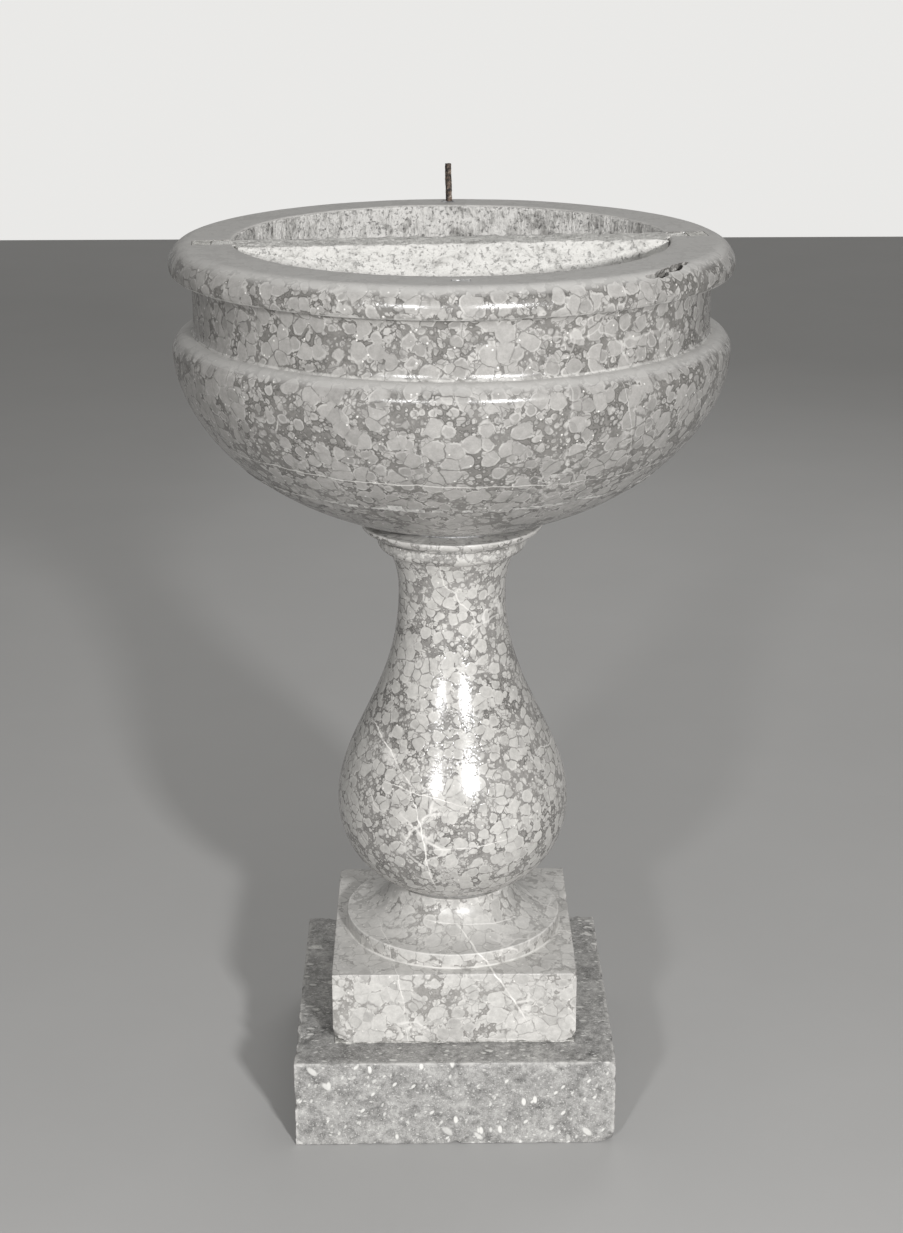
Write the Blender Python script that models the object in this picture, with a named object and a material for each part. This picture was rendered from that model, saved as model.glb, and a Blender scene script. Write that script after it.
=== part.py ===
"""Two-compartment stone baptismal font: step, plinth with round foot, baluster, bowl and its divider.

Units are metres, +Z is up, and the origin is the middle of the step's underside.
+Y points to the back of the font, where the iron pivot of the lid stands.
Stones are turned or cut blocks stacked on thin beds and held by iron dowels; a lead pipe
inside the stack carries the water of the front compartment down to the ground.
"""

from math import acos, cos, pi, radians, sin

import bmesh
import bpy
from mathutils import Matrix, Vector

# Clearance kept between neighbouring solids.
GAP = 0.0003
# How far a cutter reaches past the face it opens.
OVERCUT = 0.01

# Step and plinth.
STEP_SIDE = 0.409
STEP_HEIGHT = 0.118
PLINTH_SIDE = 0.3126
STEP_BED = 0.003
PLINTH_BOTTOM = STEP_HEIGHT + STEP_BED
PLINTH_TOP = 0.218
ARRIS = 0.0025

# Round foot, cut from the plinth's block.
FOOT_RADIUS = 0.141
FOOT_BAND_TOP = 0.238
FOOT_NECK_RADIUS = 0.078
FOOT_TOP = 0.285
FOOT_BED = 0.003

# Baluster.
BALUSTER_BOTTOM = FOOT_TOP + FOOT_BED
BALUSTER_SEAT_RADIUS = 0.072
BELLY_CENTRE = 0.052
BELLY_RADIUS = 0.150
BELLY_DEPTH = 0.114
BELLY_HEIGHT = 0.400
NECK_RADIUS = 0.068
NECK_HEIGHT = 0.685
COLLAR_ROOT_RADIUS = 0.081
RING_BOTTOM = 0.739
RING_RADIUS = 0.0944
RING_TOP = 0.7585
QUIRK_RADIUS = 0.0905
CAPITAL_FOOT_RADIUS = 0.093
CAPITAL_FOOT = 0.7625
CAPITAL_RADIUS = 0.115
CAPITAL_TOP = 0.776
CAPITAL_BED = 0.003

# Bowl, outside.
BOWL_SEAT = CAPITAL_TOP + CAPITAL_BED
BOWL_SEAT_RADIUS = 0.085
BOWL_RADIUS = 0.3393
BOWL_WIDEST_HEIGHT = 1.003
BOWL_CURVE_DEPTH = 0.232
BOWL_CURVE_POWER = 1.89
SHOULDER_TOP = 1.0237
BAND_RADIUS = 0.3133
BAND_TOP = 1.080
RIM_UNDERSIDE = 1.0946
RIM_EDGE_RADIUS = 0.338
RIM_WIDEST_HEIGHT = 1.105
RIM_RADIUS = 0.3406
RIM_FLAT_RADIUS = 0.316
RIM_TOP = 1.130

# Bowl, inside.
BASIN_RADIUS = 0.2627
BASIN_WALL_RADIUS = 0.260
BASIN_WALL_FOOT = 1.050
BASIN_FLOOR_RADIUS = 0.090
BASIN_FLOOR = 0.865

# Divider slab across the basin, and its ears let into the rim.
DIVIDER_THICKNESS = 0.057
DIVIDER_OFFSET = -0.0165
DIVIDER_TURN = radians(5)
DIVIDER_JOINT = 0.001
EAR_WIDTH = 0.033
EAR_OFFSET = -0.0075
EAR_BOTTOM = 1.102
EAR_END = 0.288
EAR_SLOT_END = 0.311
EAR_ROOT = 0.240

# Iron pivot of the lid, its lead socket, and the lead-filled latch socket opposite.
PIN_SIDE = 0.0068
PIN_TURN = radians(27)
PIN_RADIUS = 0.298
PIN_BOTTOM = 1.085
PIN_TOP = 1.180
LEAD_RADIUS = 0.0105
LEAD_BOTTOM = 1.080
LEAD_CROWN = 0.0008
LATCH_X = 0.0072
LATCH_Y = -0.290
LATCH_WIDTH = 0.021
LATCH_DEPTH = 0.013
LATCH_BOTTOM = 1.105

# Drain of the front compartment.
DRAIN_Y = -0.067
FERRULE_FLANGE_RADIUS = 0.0175
FERRULE_FLANGE = 0.004
FERRULE_RADIUS = 0.0105
FERRULE_SEAT_TOP = 0.0098
FERRULE_SEAT_BOTTOM = 0.0082
FERRULE_SEAT_DEPTH = 0.028
FERRULE_BOTTOM = 0.770
TROUGH_RADIUS = 0.0118
TROUGH_BOTTOM = 0.758
PIPE_RADIUS = 0.011
PIPE_BORE_RADIUS = 0.008

# Plug of the drain and its lifting ring.
PLUG_TAPER_LENGTH = 0.024
PLUG_HEAD_RADIUS = 0.0135
PLUG_HEAD = 0.004
PLUG_EYE_HEIGHT = 0.0135
PLUG_EYE_RADIUS = 0.0055
PLUG_EYE_THICKNESS = 0.004
PLUG_EYE_HOLE = 0.0024
PULL_RING_RADIUS = 0.014
PULL_RING_WIRE = 0.0016
PULL_RING_DROOP = radians(24.5)

# Dowels: half their spacing, radius, lowest and highest point.
STEP_DOWELS = (0.100, 0.010, 0.080, 0.160)
FOOT_DOWELS = (0.045, 0.008, 0.247, 0.326)
CAPITAL_DOWELS = (0.050, 0.008, 0.740, 0.816)

LARGE_SEGMENTS = 56
MEDIUM_SEGMENTS = 40
SMALL_SEGMENTS = 20
FLAT_ANGLE = radians(32)

# Colour, roughness and metallic value of each finish.
FINISHES = {
    "nodular_marble": ((0.36, 0.35, 0.34), 0.22, 0.0),
    "fossil_limestone": ((0.20, 0.20, 0.20), 0.50, 0.0),
    "hewn_marble": ((0.50, 0.49, 0.47), 0.85, 0.0),
    "lime_mortar": ((0.60, 0.59, 0.56), 0.90, 0.0),
    "lead": ((0.42, 0.42, 0.43), 0.55, 0.9),
    "wrought_iron": ((0.07, 0.065, 0.06), 0.70, 0.8),
    "bronze": ((0.30, 0.26, 0.19), 0.40, 1.0),
}


# ---------------------------------------------------------------- outlines

def arc(centre, radii, start, end, steps):
    """Points of an elliptical arc in the (radius, height) plane, angles in degrees."""
    angles = [radians(start + (end - start) * i / steps) for i in range(steps + 1)]
    return [(centre[0] + radii[0] * cos(a), centre[1] + radii[1] * sin(a)) for a in angles]


def bezier(start, start_handle, end_handle, end, steps):
    """Points of a cubic curve in the (radius, height) plane."""
    points = []
    for i in range(steps + 1):
        t = i / steps
        weights = ((1 - t) ** 3, 3 * t * (1 - t) ** 2, 3 * t * t * (1 - t), t ** 3)
        corners = (start, start_handle, end_handle, end)
        points.append(tuple(sum(w * c[k] for w, c in zip(weights, corners)) for k in (0, 1)))
    return points


def bowl_curve(steps):
    """The bowl's underside, from its seat out to its widest circle: a slightly pointed ellipse."""
    share = 2 / BOWL_CURVE_POWER
    seat_angle = acos((BOWL_SEAT_RADIUS / BOWL_RADIUS) ** (1 / share))
    points = []
    for i in range(1, steps + 1):
        angle = seat_angle * (1 - i / steps)
        radius = BOWL_RADIUS * cos(angle) ** share
        height = BOWL_WIDEST_HEIGHT - BOWL_CURVE_DEPTH * sin(angle) ** share
        points.append((radius, height))
    return points


def basin_outline(shrink=0.0):
    """The basin's inner wall and floor, from the rim down to the axis."""
    reach = BASIN_WALL_RADIUS - BASIN_FLOOR_RADIUS - shrink
    depth = BASIN_WALL_FOOT - BASIN_FLOOR - shrink
    curve = arc((BASIN_FLOOR_RADIUS, BASIN_WALL_FOOT), (reach, depth), 0, -90, 9)
    return [(BASIN_RADIUS - shrink, RIM_TOP)] + curve + [(0.0, BASIN_FLOOR + shrink)]


# ---------------------------------------------------------------- building blocks

def finish(name):
    """The Principled material of that finish, made on first use."""
    material = bpy.data.materials.get(name)
    if material is None:
        colour, roughness, metallic = FINISHES[name]
        material = bpy.data.materials.new(name)
        material.use_nodes = True
        shader = material.node_tree.nodes["Principled BSDF"]
        shader.inputs["Base Color"].default_value = (*colour, 1.0)
        shader.inputs["Roughness"].default_value = roughness
        shader.inputs["Metallic"].default_value = metallic
    return material


def add_object(name, bm, finish_name, location=(0, 0, 0), turn=0.0):
    """Turns a bmesh into an object with outward faces, smooth where the surface is round."""
    bmesh.ops.remove_doubles(bm, verts=bm.verts, dist=1e-6)
    bmesh.ops.recalc_face_normals(bm, faces=bm.faces)
    mesh = bpy.data.meshes.new(name)
    bm.to_mesh(mesh)
    bm.free()
    mesh.shade_smooth()
    mesh.set_sharp_from_angle(angle=FLAT_ANGLE)
    obj = bpy.data.objects.new(name, mesh)
    bpy.context.scene.collection.objects.link(obj)
    obj.location = location
    obj.rotation_euler = (0, 0, turn)
    if finish_name:
        mesh.materials.append(finish(finish_name))
    return obj


def spun(outline, segments, closed=False):
    """A bmesh turned about the Z axis from (radius, height) points."""
    bm = bmesh.new()
    verts = [bm.verts.new((radius, 0.0, height)) for radius, height in outline]
    pairs = list(zip(verts, verts[1:])) + ([(verts[-1], verts[0])] if closed else [])
    edges = [bm.edges.new(pair) for pair in pairs]
    bmesh.ops.spin(
        bm, geom=verts + edges, axis=(0, 0, 1), cent=(0, 0, 0),
        steps=segments, angle=2 * pi, use_merge=True,
    )
    return bm


def turned(name, outline, segments, finish_name, closed=False, location=(0, 0, 0)):
    """A turned solid. An open outline starts and ends on the axis, a closed one goes round a bore."""
    return add_object(name, spun(outline, segments, closed), finish_name, location)


def box(name, low, high, finish_name=None, turn=0.0, centre=(0, 0), bevel=0.0):
    """A rectangular block given by its two corners about centre, turned about the vertical."""
    bm = bmesh.new()
    size = Vector(high) - Vector(low)
    middle = (Vector(high) + Vector(low)) / 2
    bmesh.ops.create_cube(bm, size=1.0, matrix=Matrix.Translation(middle) @ Matrix.Diagonal((*size, 1)))
    if bevel:
        bmesh.ops.bevel(bm, geom=list(bm.edges), offset=bevel, segments=1, affect="EDGES")
    return add_object(name, bm, finish_name, (*centre, 0), turn)


def rod(name, x, y, radius, low, high, finish_name=None, segments=SMALL_SEGMENTS):
    """An upright cylinder."""
    outline = [(0.0, low), (radius, low), (radius, high), (0.0, high)]
    return turned(name, outline, segments, finish_name, location=(x, y, 0))


def combine(target, operation, *others):
    """Adds a Boolean for each other object, which is then only a guide."""
    for other in others:
        modifier = target.modifiers.new(f"{operation.lower()} {other.name}", "BOOLEAN")
        modifier.operation = operation
        modifier.object = other
        modifier.solver = "EXACT"
        other.hide_render = True
        other.display_type = "WIRE"


def dowel_sockets(name, dowels):
    """A cutter for each dowel's socket, wider and longer than the dowel by the clearance."""
    spacing, radius, low, high = dowels
    return [
        rod(f"{name}_{i}", x, 0, radius + GAP, low - GAP, high + GAP)
        for i, x in enumerate((-spacing, spacing))
    ]


def pipe_bore(name, low, high):
    """A cutter for the hole that the drain pipe runs in."""
    return rod(name, 0, 0, PIPE_RADIUS + GAP, low - OVERCUT, high + OVERCUT, segments=24)


# ---------------------------------------------------------------- stones

def make_step():
    """The square step, with the pipe's hole and two dowel sockets."""
    half = STEP_SIDE / 2
    step = box("step_block", (-half, -half, 0), (half, half, STEP_HEIGHT), "fossil_limestone", bevel=ARRIS)
    bore = pipe_bore("step_bore", 0, STEP_HEIGHT)
    combine(step, "DIFFERENCE", bore, *dowel_sockets("step_socket", STEP_DOWELS))


def make_plinth():
    """The square plinth with the round foot on it, cut from one block."""
    half = PLINTH_SIDE / 2
    plinth = box(
        "plinth_block", (-half, -half, PLINTH_BOTTOM), (half, half, PLINTH_TOP), "nodular_marble", bevel=ARRIS,
    )
    flare = arc(
        (FOOT_RADIUS, FOOT_TOP), (FOOT_RADIUS - FOOT_NECK_RADIUS, FOOT_TOP - FOOT_BAND_TOP), 270, 180, 8,
    )
    overlap = PLINTH_TOP - OVERCUT
    outline = [(0.0, overlap), (FOOT_RADIUS, overlap)] + flare + [(0.0, FOOT_TOP)]
    foot = turned("round_foot", outline, MEDIUM_SEGMENTS, None)
    combine(plinth, "UNION", foot)
    combine(
        plinth, "DIFFERENCE", pipe_bore("plinth_bore", PLINTH_BOTTOM, FOOT_TOP),
        *dowel_sockets("plinth_socket", STEP_DOWELS), *dowel_sockets("foot_socket", FOOT_DOWELS),
    )


def baluster_outline():
    """The baluster from its bed up: belly, neck, ring and spreading capital."""
    lower = arc(
        (BELLY_CENTRE, BELLY_HEIGHT), (BELLY_RADIUS - BELLY_CENTRE, BELLY_DEPTH), -77, 0, 7,
    )
    upper = bezier(
        (BELLY_RADIUS, BELLY_HEIGHT), (BELLY_RADIUS, BELLY_HEIGHT + 0.090),
        (NECK_RADIUS, NECK_HEIGHT - 0.134), (NECK_RADIUS, NECK_HEIGHT), 9,
    )
    spread = bezier(
        (NECK_RADIUS, NECK_HEIGHT), (NECK_RADIUS, NECK_HEIGHT + 0.025),
        (COLLAR_ROOT_RADIUS - 0.007, RING_BOTTOM - 0.011), (COLLAR_ROOT_RADIUS, RING_BOTTOM), 3,
    )
    ring = arc(
        (COLLAR_ROOT_RADIUS, RING_BOTTOM + 0.013), (RING_RADIUS - COLLAR_ROOT_RADIUS, 0.013), -60, 0, 3,
    )
    quirk = [(RING_RADIUS, RING_TOP), (QUIRK_RADIUS, (RING_TOP + CAPITAL_FOOT) / 2)]
    capital = arc(
        (CAPITAL_FOOT_RADIUS, CAPITAL_TOP), (CAPITAL_RADIUS - CAPITAL_FOOT_RADIUS, CAPITAL_TOP - CAPITAL_FOOT),
        -90, 0, 4,
    )
    bottom = [(0.0, BALUSTER_BOTTOM), (BALUSTER_SEAT_RADIUS, BALUSTER_BOTTOM)]
    return bottom + lower + upper[1:] + spread[1:] + ring + quirk + capital + [(0.0, CAPITAL_TOP)]


def trough(name, low):
    """A cutter for the channel that leads from under the drain to the pipe on the axis."""
    channel = rod(name, 0, DRAIN_Y, TROUGH_RADIUS, low, BOWL_SEAT + OVERCUT)
    end = rod(f"{name}_end", 0, 0, TROUGH_RADIUS, low, BOWL_SEAT + OVERCUT)
    middle = box(
        f"{name}_middle", (-TROUGH_RADIUS, DRAIN_Y, low), (TROUGH_RADIUS, 0, BOWL_SEAT + OVERCUT),
    )
    combine(channel, "UNION", middle, end)
    return channel


def make_baluster():
    """The baluster, bored for the pipe and channelled on top for the drain."""
    baluster = turned("baluster", baluster_outline(), MEDIUM_SEGMENTS, "nodular_marble")
    combine(
        baluster, "DIFFERENCE", pipe_bore("baluster_bore", BALUSTER_BOTTOM, TROUGH_BOTTOM),
        trough("capital_channel", TROUGH_BOTTOM),
        *dowel_sockets("baluster_foot_socket", FOOT_DOWELS), *dowel_sockets("capital_socket", CAPITAL_DOWELS),
    )


def bowl_outline():
    """The bowl in section: seat, underside, shoulder, band, rolled rim and basin."""
    shoulder = arc(
        (BAND_RADIUS, BOWL_WIDEST_HEIGHT),
        (BOWL_RADIUS - BAND_RADIUS, SHOULDER_TOP - BOWL_WIDEST_HEIGHT), 0, 90, 4,
    )
    cove = RIM_UNDERSIDE - BAND_TOP
    under_rim = arc((BAND_RADIUS + cove, BAND_TOP), (cove, cove), 180, 90, 3)
    rim_edge = arc(
        (RIM_EDGE_RADIUS - 0.002, RIM_WIDEST_HEIGHT),
        (RIM_RADIUS - RIM_EDGE_RADIUS + 0.002, RIM_WIDEST_HEIGHT - RIM_UNDERSIDE), -90, 0, 2,
    )
    roll = arc(
        (RIM_FLAT_RADIUS, RIM_WIDEST_HEIGHT),
        (RIM_RADIUS - RIM_FLAT_RADIUS, RIM_TOP - RIM_WIDEST_HEIGHT), 0, 90, 5,
    )
    seat = [(0.0, BOWL_SEAT), (BOWL_SEAT_RADIUS, BOWL_SEAT)]
    return seat + bowl_curve(11) + shoulder[1:] + under_rim + rim_edge + roll[1:] + basin_outline()


def ear_slots():
    """Cutters for the two slots in the rim that take the divider's ears."""
    half = EAR_WIDTH / 2 + GAP
    return [
        box(
            f"ear_slot_{i}", (min(side * EAR_ROOT, side * EAR_SLOT_END), -half, EAR_BOTTOM - GAP),
            (max(side * EAR_ROOT, side * EAR_SLOT_END), half, RIM_TOP + OVERCUT),
            turn=DIVIDER_TURN, centre=(0, EAR_OFFSET),
        )
        for i, side in enumerate((-1, 1))
    ]


def make_bowl():
    """The bowl, with its drain hole, dowel sockets, ear slots and the sockets in its rim."""
    bowl = turned("bowl", bowl_outline(), LARGE_SEGMENTS, "nodular_marble")
    recess = BASIN_FLOOR - FERRULE_FLANGE - GAP
    drain_section = [
        (0.0, BOWL_SEAT - OVERCUT), (FERRULE_RADIUS + GAP, BOWL_SEAT - OVERCUT), (FERRULE_RADIUS + GAP, recess),
        (FERRULE_FLANGE_RADIUS + GAP, recess), (FERRULE_FLANGE_RADIUS + GAP, BASIN_FLOOR + OVERCUT),
        (0.0, BASIN_FLOOR + OVERCUT),
    ]
    drain_hole = turned("drain_hole", drain_section, SMALL_SEGMENTS, None, location=(0, DRAIN_Y, 0))
    pin_socket = rod("pin_socket", 0, PIN_RADIUS, LEAD_RADIUS + GAP, LEAD_BOTTOM - GAP, RIM_TOP + OVERCUT)
    combine(
        bowl, "DIFFERENCE", drain_hole, pin_socket, latch_block("latch_socket", GAP, OVERCUT),
        *ear_slots(), *dowel_sockets("bowl_socket", CAPITAL_DOWELS),
    )


def make_divider():
    """The upright slab that parts the basin in two, with an ear at each end let into the rim."""
    half = DIVIDER_THICKNESS / 2
    slab = box(
        "basin_divider", (-BASIN_RADIUS, -half, BASIN_FLOOR - OVERCUT), (BASIN_RADIUS, half, RIM_TOP),
        "hewn_marble", turn=DIVIDER_TURN, centre=(0, DIVIDER_OFFSET),
    )
    basin = turned(
        "basin_space", basin_outline(DIVIDER_JOINT)[::-1] + [(0.0, RIM_TOP)], LARGE_SEGMENTS, None,
    )
    combine(slab, "INTERSECT", basin)
    half_ear = EAR_WIDTH / 2
    ears = box(
        "divider_ears", (-EAR_END, -half_ear, EAR_BOTTOM), (EAR_END, half_ear, RIM_TOP - 2 * GAP),
        turn=DIVIDER_TURN, centre=(0, EAR_OFFSET),
    )
    combine(slab, "UNION", ears)


def make_ear_mortar():
    """Lime mortar that fills each slot behind the divider's ear."""
    half = EAR_WIDTH / 2
    for name, side in (("ear_mortar_left", -1), ("ear_mortar_right", 1)):
        ends = sorted((side * (EAR_END + GAP), side * (EAR_SLOT_END - GAP)))
        box(
            name, (ends[0], -half, EAR_BOTTOM), (ends[1], half, RIM_TOP), "lime_mortar",
            turn=DIVIDER_TURN, centre=(0, EAR_OFFSET),
        )


# ---------------------------------------------------------------- beds and dowels

def make_beds():
    """The thin beds between the stones, pierced for the pipe, the channel and the dowels."""
    half = PLINTH_SIDE / 2 - 0.006
    step_bed = box(
        "step_bed_mortar", (-half, -half, STEP_HEIGHT + GAP), (half, half, PLINTH_BOTTOM - GAP), "lime_mortar",
    )
    combine(
        step_bed, "DIFFERENCE", pipe_bore("step_bed_bore", STEP_HEIGHT, PLINTH_BOTTOM),
        *dowel_sockets("step_bed_socket", STEP_DOWELS),
    )
    foot_bed = rod(
        "foot_bed_lead", 0, 0, BALUSTER_SEAT_RADIUS - 0.001, FOOT_TOP + GAP, BALUSTER_BOTTOM - GAP, "lead", 40,
    )
    combine(
        foot_bed, "DIFFERENCE", pipe_bore("foot_bed_bore", FOOT_TOP, BALUSTER_BOTTOM),
        *dowel_sockets("foot_bed_socket", FOOT_DOWELS),
    )
    bowl_bed = rod(
        "bowl_bed_lead", 0, 0, BOWL_SEAT_RADIUS - 0.002, CAPITAL_TOP + GAP, BOWL_SEAT - GAP, "lead", 40,
    )
    combine(
        bowl_bed, "DIFFERENCE", trough("bowl_bed_channel", CAPITAL_TOP - OVERCUT),
        *dowel_sockets("bowl_bed_socket", CAPITAL_DOWELS),
    )


def make_dowels():
    """Two iron dowels across each bed."""
    for name, dowels in (("step", STEP_DOWELS), ("foot", FOOT_DOWELS), ("bowl", CAPITAL_DOWELS)):
        spacing, radius, low, high = dowels
        for side, x in (("left", -spacing), ("right", spacing)):
            rod(f"{name}_dowel_{side}", x, 0, radius, low, high, "wrought_iron", 16)


# ---------------------------------------------------------------- fixings in the rim

def make_pin():
    """The forged square bar that the lid turned on, and the lead it is set in."""
    half = PIN_SIDE / 2
    box(
        "lid_pivot_pin", (-half, -half, PIN_BOTTOM), (half, half, PIN_TOP), "wrought_iron",
        turn=PIN_TURN, centre=(0, PIN_RADIUS), bevel=0.0007,
    )
    outline = [
        (0.0, LEAD_BOTTOM), (LEAD_RADIUS, LEAD_BOTTOM), (LEAD_RADIUS, RIM_TOP),
        (LEAD_RADIUS * 0.7, RIM_TOP + LEAD_CROWN), (0.0, RIM_TOP + LEAD_CROWN),
    ]
    lead = turned("pivot_pin_lead", outline, SMALL_SEGMENTS, "lead", location=(0, PIN_RADIUS, 0))
    half += GAP
    seat = box(
        "pin_seat", (-half, -half, PIN_BOTTOM - GAP), (half, half, RIM_TOP + OVERCUT),
        turn=PIN_TURN, centre=(0, PIN_RADIUS),
    )
    combine(lead, "DIFFERENCE", seat)


def latch_block(name, grow, rise, finish_name=None):
    """The oblong block opposite the pivot: the lead itself, or its socket when grown by the clearance."""
    half_width = LATCH_WIDTH / 2 + grow
    half_depth = LATCH_DEPTH / 2 + grow
    return box(
        name, (-half_width, -half_depth, LATCH_BOTTOM - grow), (half_width, half_depth, RIM_TOP + rise),
        finish_name, centre=(LATCH_X, LATCH_Y),
    )


# ---------------------------------------------------------------- drain

def make_drain():
    """The bronze ferrule in the basin's floor and the lead pipe inside the stack."""
    seat_foot = BASIN_FLOOR - FERRULE_SEAT_DEPTH
    ferrule = [
        (FERRULE_FLANGE_RADIUS, BASIN_FLOOR - FERRULE_FLANGE), (FERRULE_FLANGE_RADIUS, BASIN_FLOOR),
        (FERRULE_SEAT_TOP, BASIN_FLOOR), (FERRULE_SEAT_BOTTOM, seat_foot),
        (FERRULE_SEAT_BOTTOM, FERRULE_BOTTOM), (FERRULE_RADIUS, FERRULE_BOTTOM),
        (FERRULE_RADIUS, BASIN_FLOOR - FERRULE_FLANGE),
    ]
    turned("drain_ferrule", ferrule, 24, "bronze", closed=True, location=(0, DRAIN_Y, 0))
    top = TROUGH_BOTTOM - GAP
    pipe = [(PIPE_BORE_RADIUS, 0), (PIPE_RADIUS, 0), (PIPE_RADIUS, top), (PIPE_BORE_RADIUS, top)]
    turned("drain_pipe", pipe, 24, "lead", closed=True)


def make_plug():
    """The tapered bronze plug with its eye, and the ring it is lifted by."""
    head_bottom = BASIN_FLOOR + GAP
    head_top = head_bottom + PLUG_HEAD
    taper_foot = head_bottom - PLUG_TAPER_LENGTH
    slope = (FERRULE_SEAT_TOP - FERRULE_SEAT_BOTTOM) / FERRULE_SEAT_DEPTH
    taper_top_radius = FERRULE_SEAT_TOP - 2 * GAP
    taper_foot_radius = taper_top_radius - slope * PLUG_TAPER_LENGTH
    outline = [
        (0.0, taper_foot), (taper_foot_radius, taper_foot), (taper_top_radius, head_bottom),
        (PLUG_HEAD_RADIUS, head_bottom), (PLUG_HEAD_RADIUS, head_top - 0.001),
        (PLUG_HEAD_RADIUS - 0.003, head_top), (0.0, head_top + 0.001),
    ]
    plug = turned("drain_plug", outline, 24, "bronze", location=(0, DRAIN_Y, 0))
    eye_height = head_top + PLUG_EYE_HEIGHT - PLUG_HEAD
    combine(plug, "UNION", make_eye(eye_height, head_top))
    combine(plug, "DIFFERENCE", cross_rod("eye_hole", PLUG_EYE_HOLE, 2 * PLUG_EYE_THICKNESS, eye_height))
    make_pull_ring(eye_height)


def cross_rod(name, radius, length, height):
    """A cylinder lying along X above the drain."""
    bm = bmesh.new()
    lie_down = Matrix.Rotation(pi / 2, 4, "Y")
    bmesh.ops.create_cone(
        bm, cap_ends=True, segments=16, radius1=radius, radius2=radius, depth=length, matrix=lie_down,
    )
    return add_object(name, bm, None, (0, DRAIN_Y, height))


def make_eye(height, foot):
    """The plug's upright eye: a round-topped lug."""
    top = cross_rod("plug_eye", PLUG_EYE_RADIUS, PLUG_EYE_THICKNESS, height)
    half = PLUG_EYE_THICKNESS / 2
    stem = box(
        "plug_eye_stem", (-half, -PLUG_EYE_RADIUS, foot - 0.002), (half, PLUG_EYE_RADIUS, height),
        centre=(0, DRAIN_Y),
    )
    combine(top, "UNION", stem)
    return top


def make_pull_ring(height):
    """The ring through the eye, drooping on to the plug's head towards the front of the font."""
    bm = bmesh.new()
    section = [
        bm.verts.new((PULL_RING_RADIUS + PULL_RING_WIRE * cos(a), 0, PULL_RING_WIRE * sin(a)))
        for a in (2 * pi * i / 8 for i in range(8))
    ]
    edges = [bm.edges.new((a, b)) for a, b in zip(section, section[1:] + section[:1])]
    bmesh.ops.spin(
        bm, geom=section + edges, axis=(0, 0, 1), cent=(0, 0, 0), steps=28, angle=2 * pi, use_merge=True,
    )
    bmesh.ops.translate(bm, verts=bm.verts, vec=(0, -PULL_RING_RADIUS, 0))
    bmesh.ops.rotate(bm, verts=bm.verts, cent=(0, 0, 0), matrix=Matrix.Rotation(PULL_RING_DROOP, 3, "X"))
    add_object("pull_ring", bm, "bronze", (0, DRAIN_Y, height))


# ---------------------------------------------------------------- the font

def clear_scene():
    """Removes the objects of the open file."""
    for obj in list(bpy.data.objects):
        bpy.data.objects.remove(obj, do_unlink=True)


def main():
    clear_scene()
    make_step()
    make_plinth()
    make_baluster()
    make_bowl()
    make_divider()
    make_ear_mortar()
    make_beds()
    make_dowels()
    make_pin()
    latch_block("latch_socket_lead", 0, 0, "lead")
    make_drain()
    make_plug()


main()
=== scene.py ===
"""Looks of a turned stone baptismal font.

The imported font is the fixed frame: metres, +Z up, origin in the middle of the step's underside,
+Y to the back. Each stone that shows is modelled again here with its wear, its tool marks and its
knocked edges, and stands for the plain solid of the frame. Every finish is procedural.
"""

from __future__ import annotations

import logging
import math
from contextlib import contextmanager
from dataclasses import dataclass, field
from enum import Enum
from typing import Callable, Iterable, Iterator, Optional, Union

import bpy
from mathutils import Euler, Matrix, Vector

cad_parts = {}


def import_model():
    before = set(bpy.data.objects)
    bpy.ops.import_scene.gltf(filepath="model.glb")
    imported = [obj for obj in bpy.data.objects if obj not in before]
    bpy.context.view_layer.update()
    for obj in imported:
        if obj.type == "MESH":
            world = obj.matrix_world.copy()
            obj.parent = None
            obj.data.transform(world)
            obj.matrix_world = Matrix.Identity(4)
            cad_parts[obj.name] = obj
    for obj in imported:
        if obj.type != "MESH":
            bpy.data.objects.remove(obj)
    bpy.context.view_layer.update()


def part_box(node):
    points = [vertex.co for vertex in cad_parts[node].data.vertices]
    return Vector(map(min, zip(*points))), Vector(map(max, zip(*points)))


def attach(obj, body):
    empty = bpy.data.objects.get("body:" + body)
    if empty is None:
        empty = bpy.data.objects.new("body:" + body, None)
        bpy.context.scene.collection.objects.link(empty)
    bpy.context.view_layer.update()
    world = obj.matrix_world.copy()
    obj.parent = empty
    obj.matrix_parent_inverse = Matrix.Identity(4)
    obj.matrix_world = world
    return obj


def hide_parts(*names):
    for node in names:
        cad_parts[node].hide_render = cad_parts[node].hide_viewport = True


LOG = logging.getLogger("font")

# Gaps in metres below which points are one: in a mesh that was just spun, and in the frame's own.
SPIN_SEAM = 0.00002
FRAME_SEAM = 0.00001
# Where relief patterns start, off the axis so that no pattern mirrors itself about the middle.
RELIEF_ORIGIN = (0.013, 0.027, 0.041)

Point = tuple[float, float]
Triple = tuple[float, float, float]
Colour = tuple[float, float, float]
Piece = bpy.types.Object
Socket = bpy.types.NodeSocket


class Body(Enum):
    """The bodies of the frame that a piece can ride on."""

    FONT = "font"
    PLUG = "plug"
    RING = "plug_ring"


class Relief(Enum):
    """The kinds of irregularity pressed into a mesh."""

    CLOUDS = "CLOUDS"
    STUCCO = "STUCCI"


# ---------------------------------------------------------------- shader maths

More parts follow.
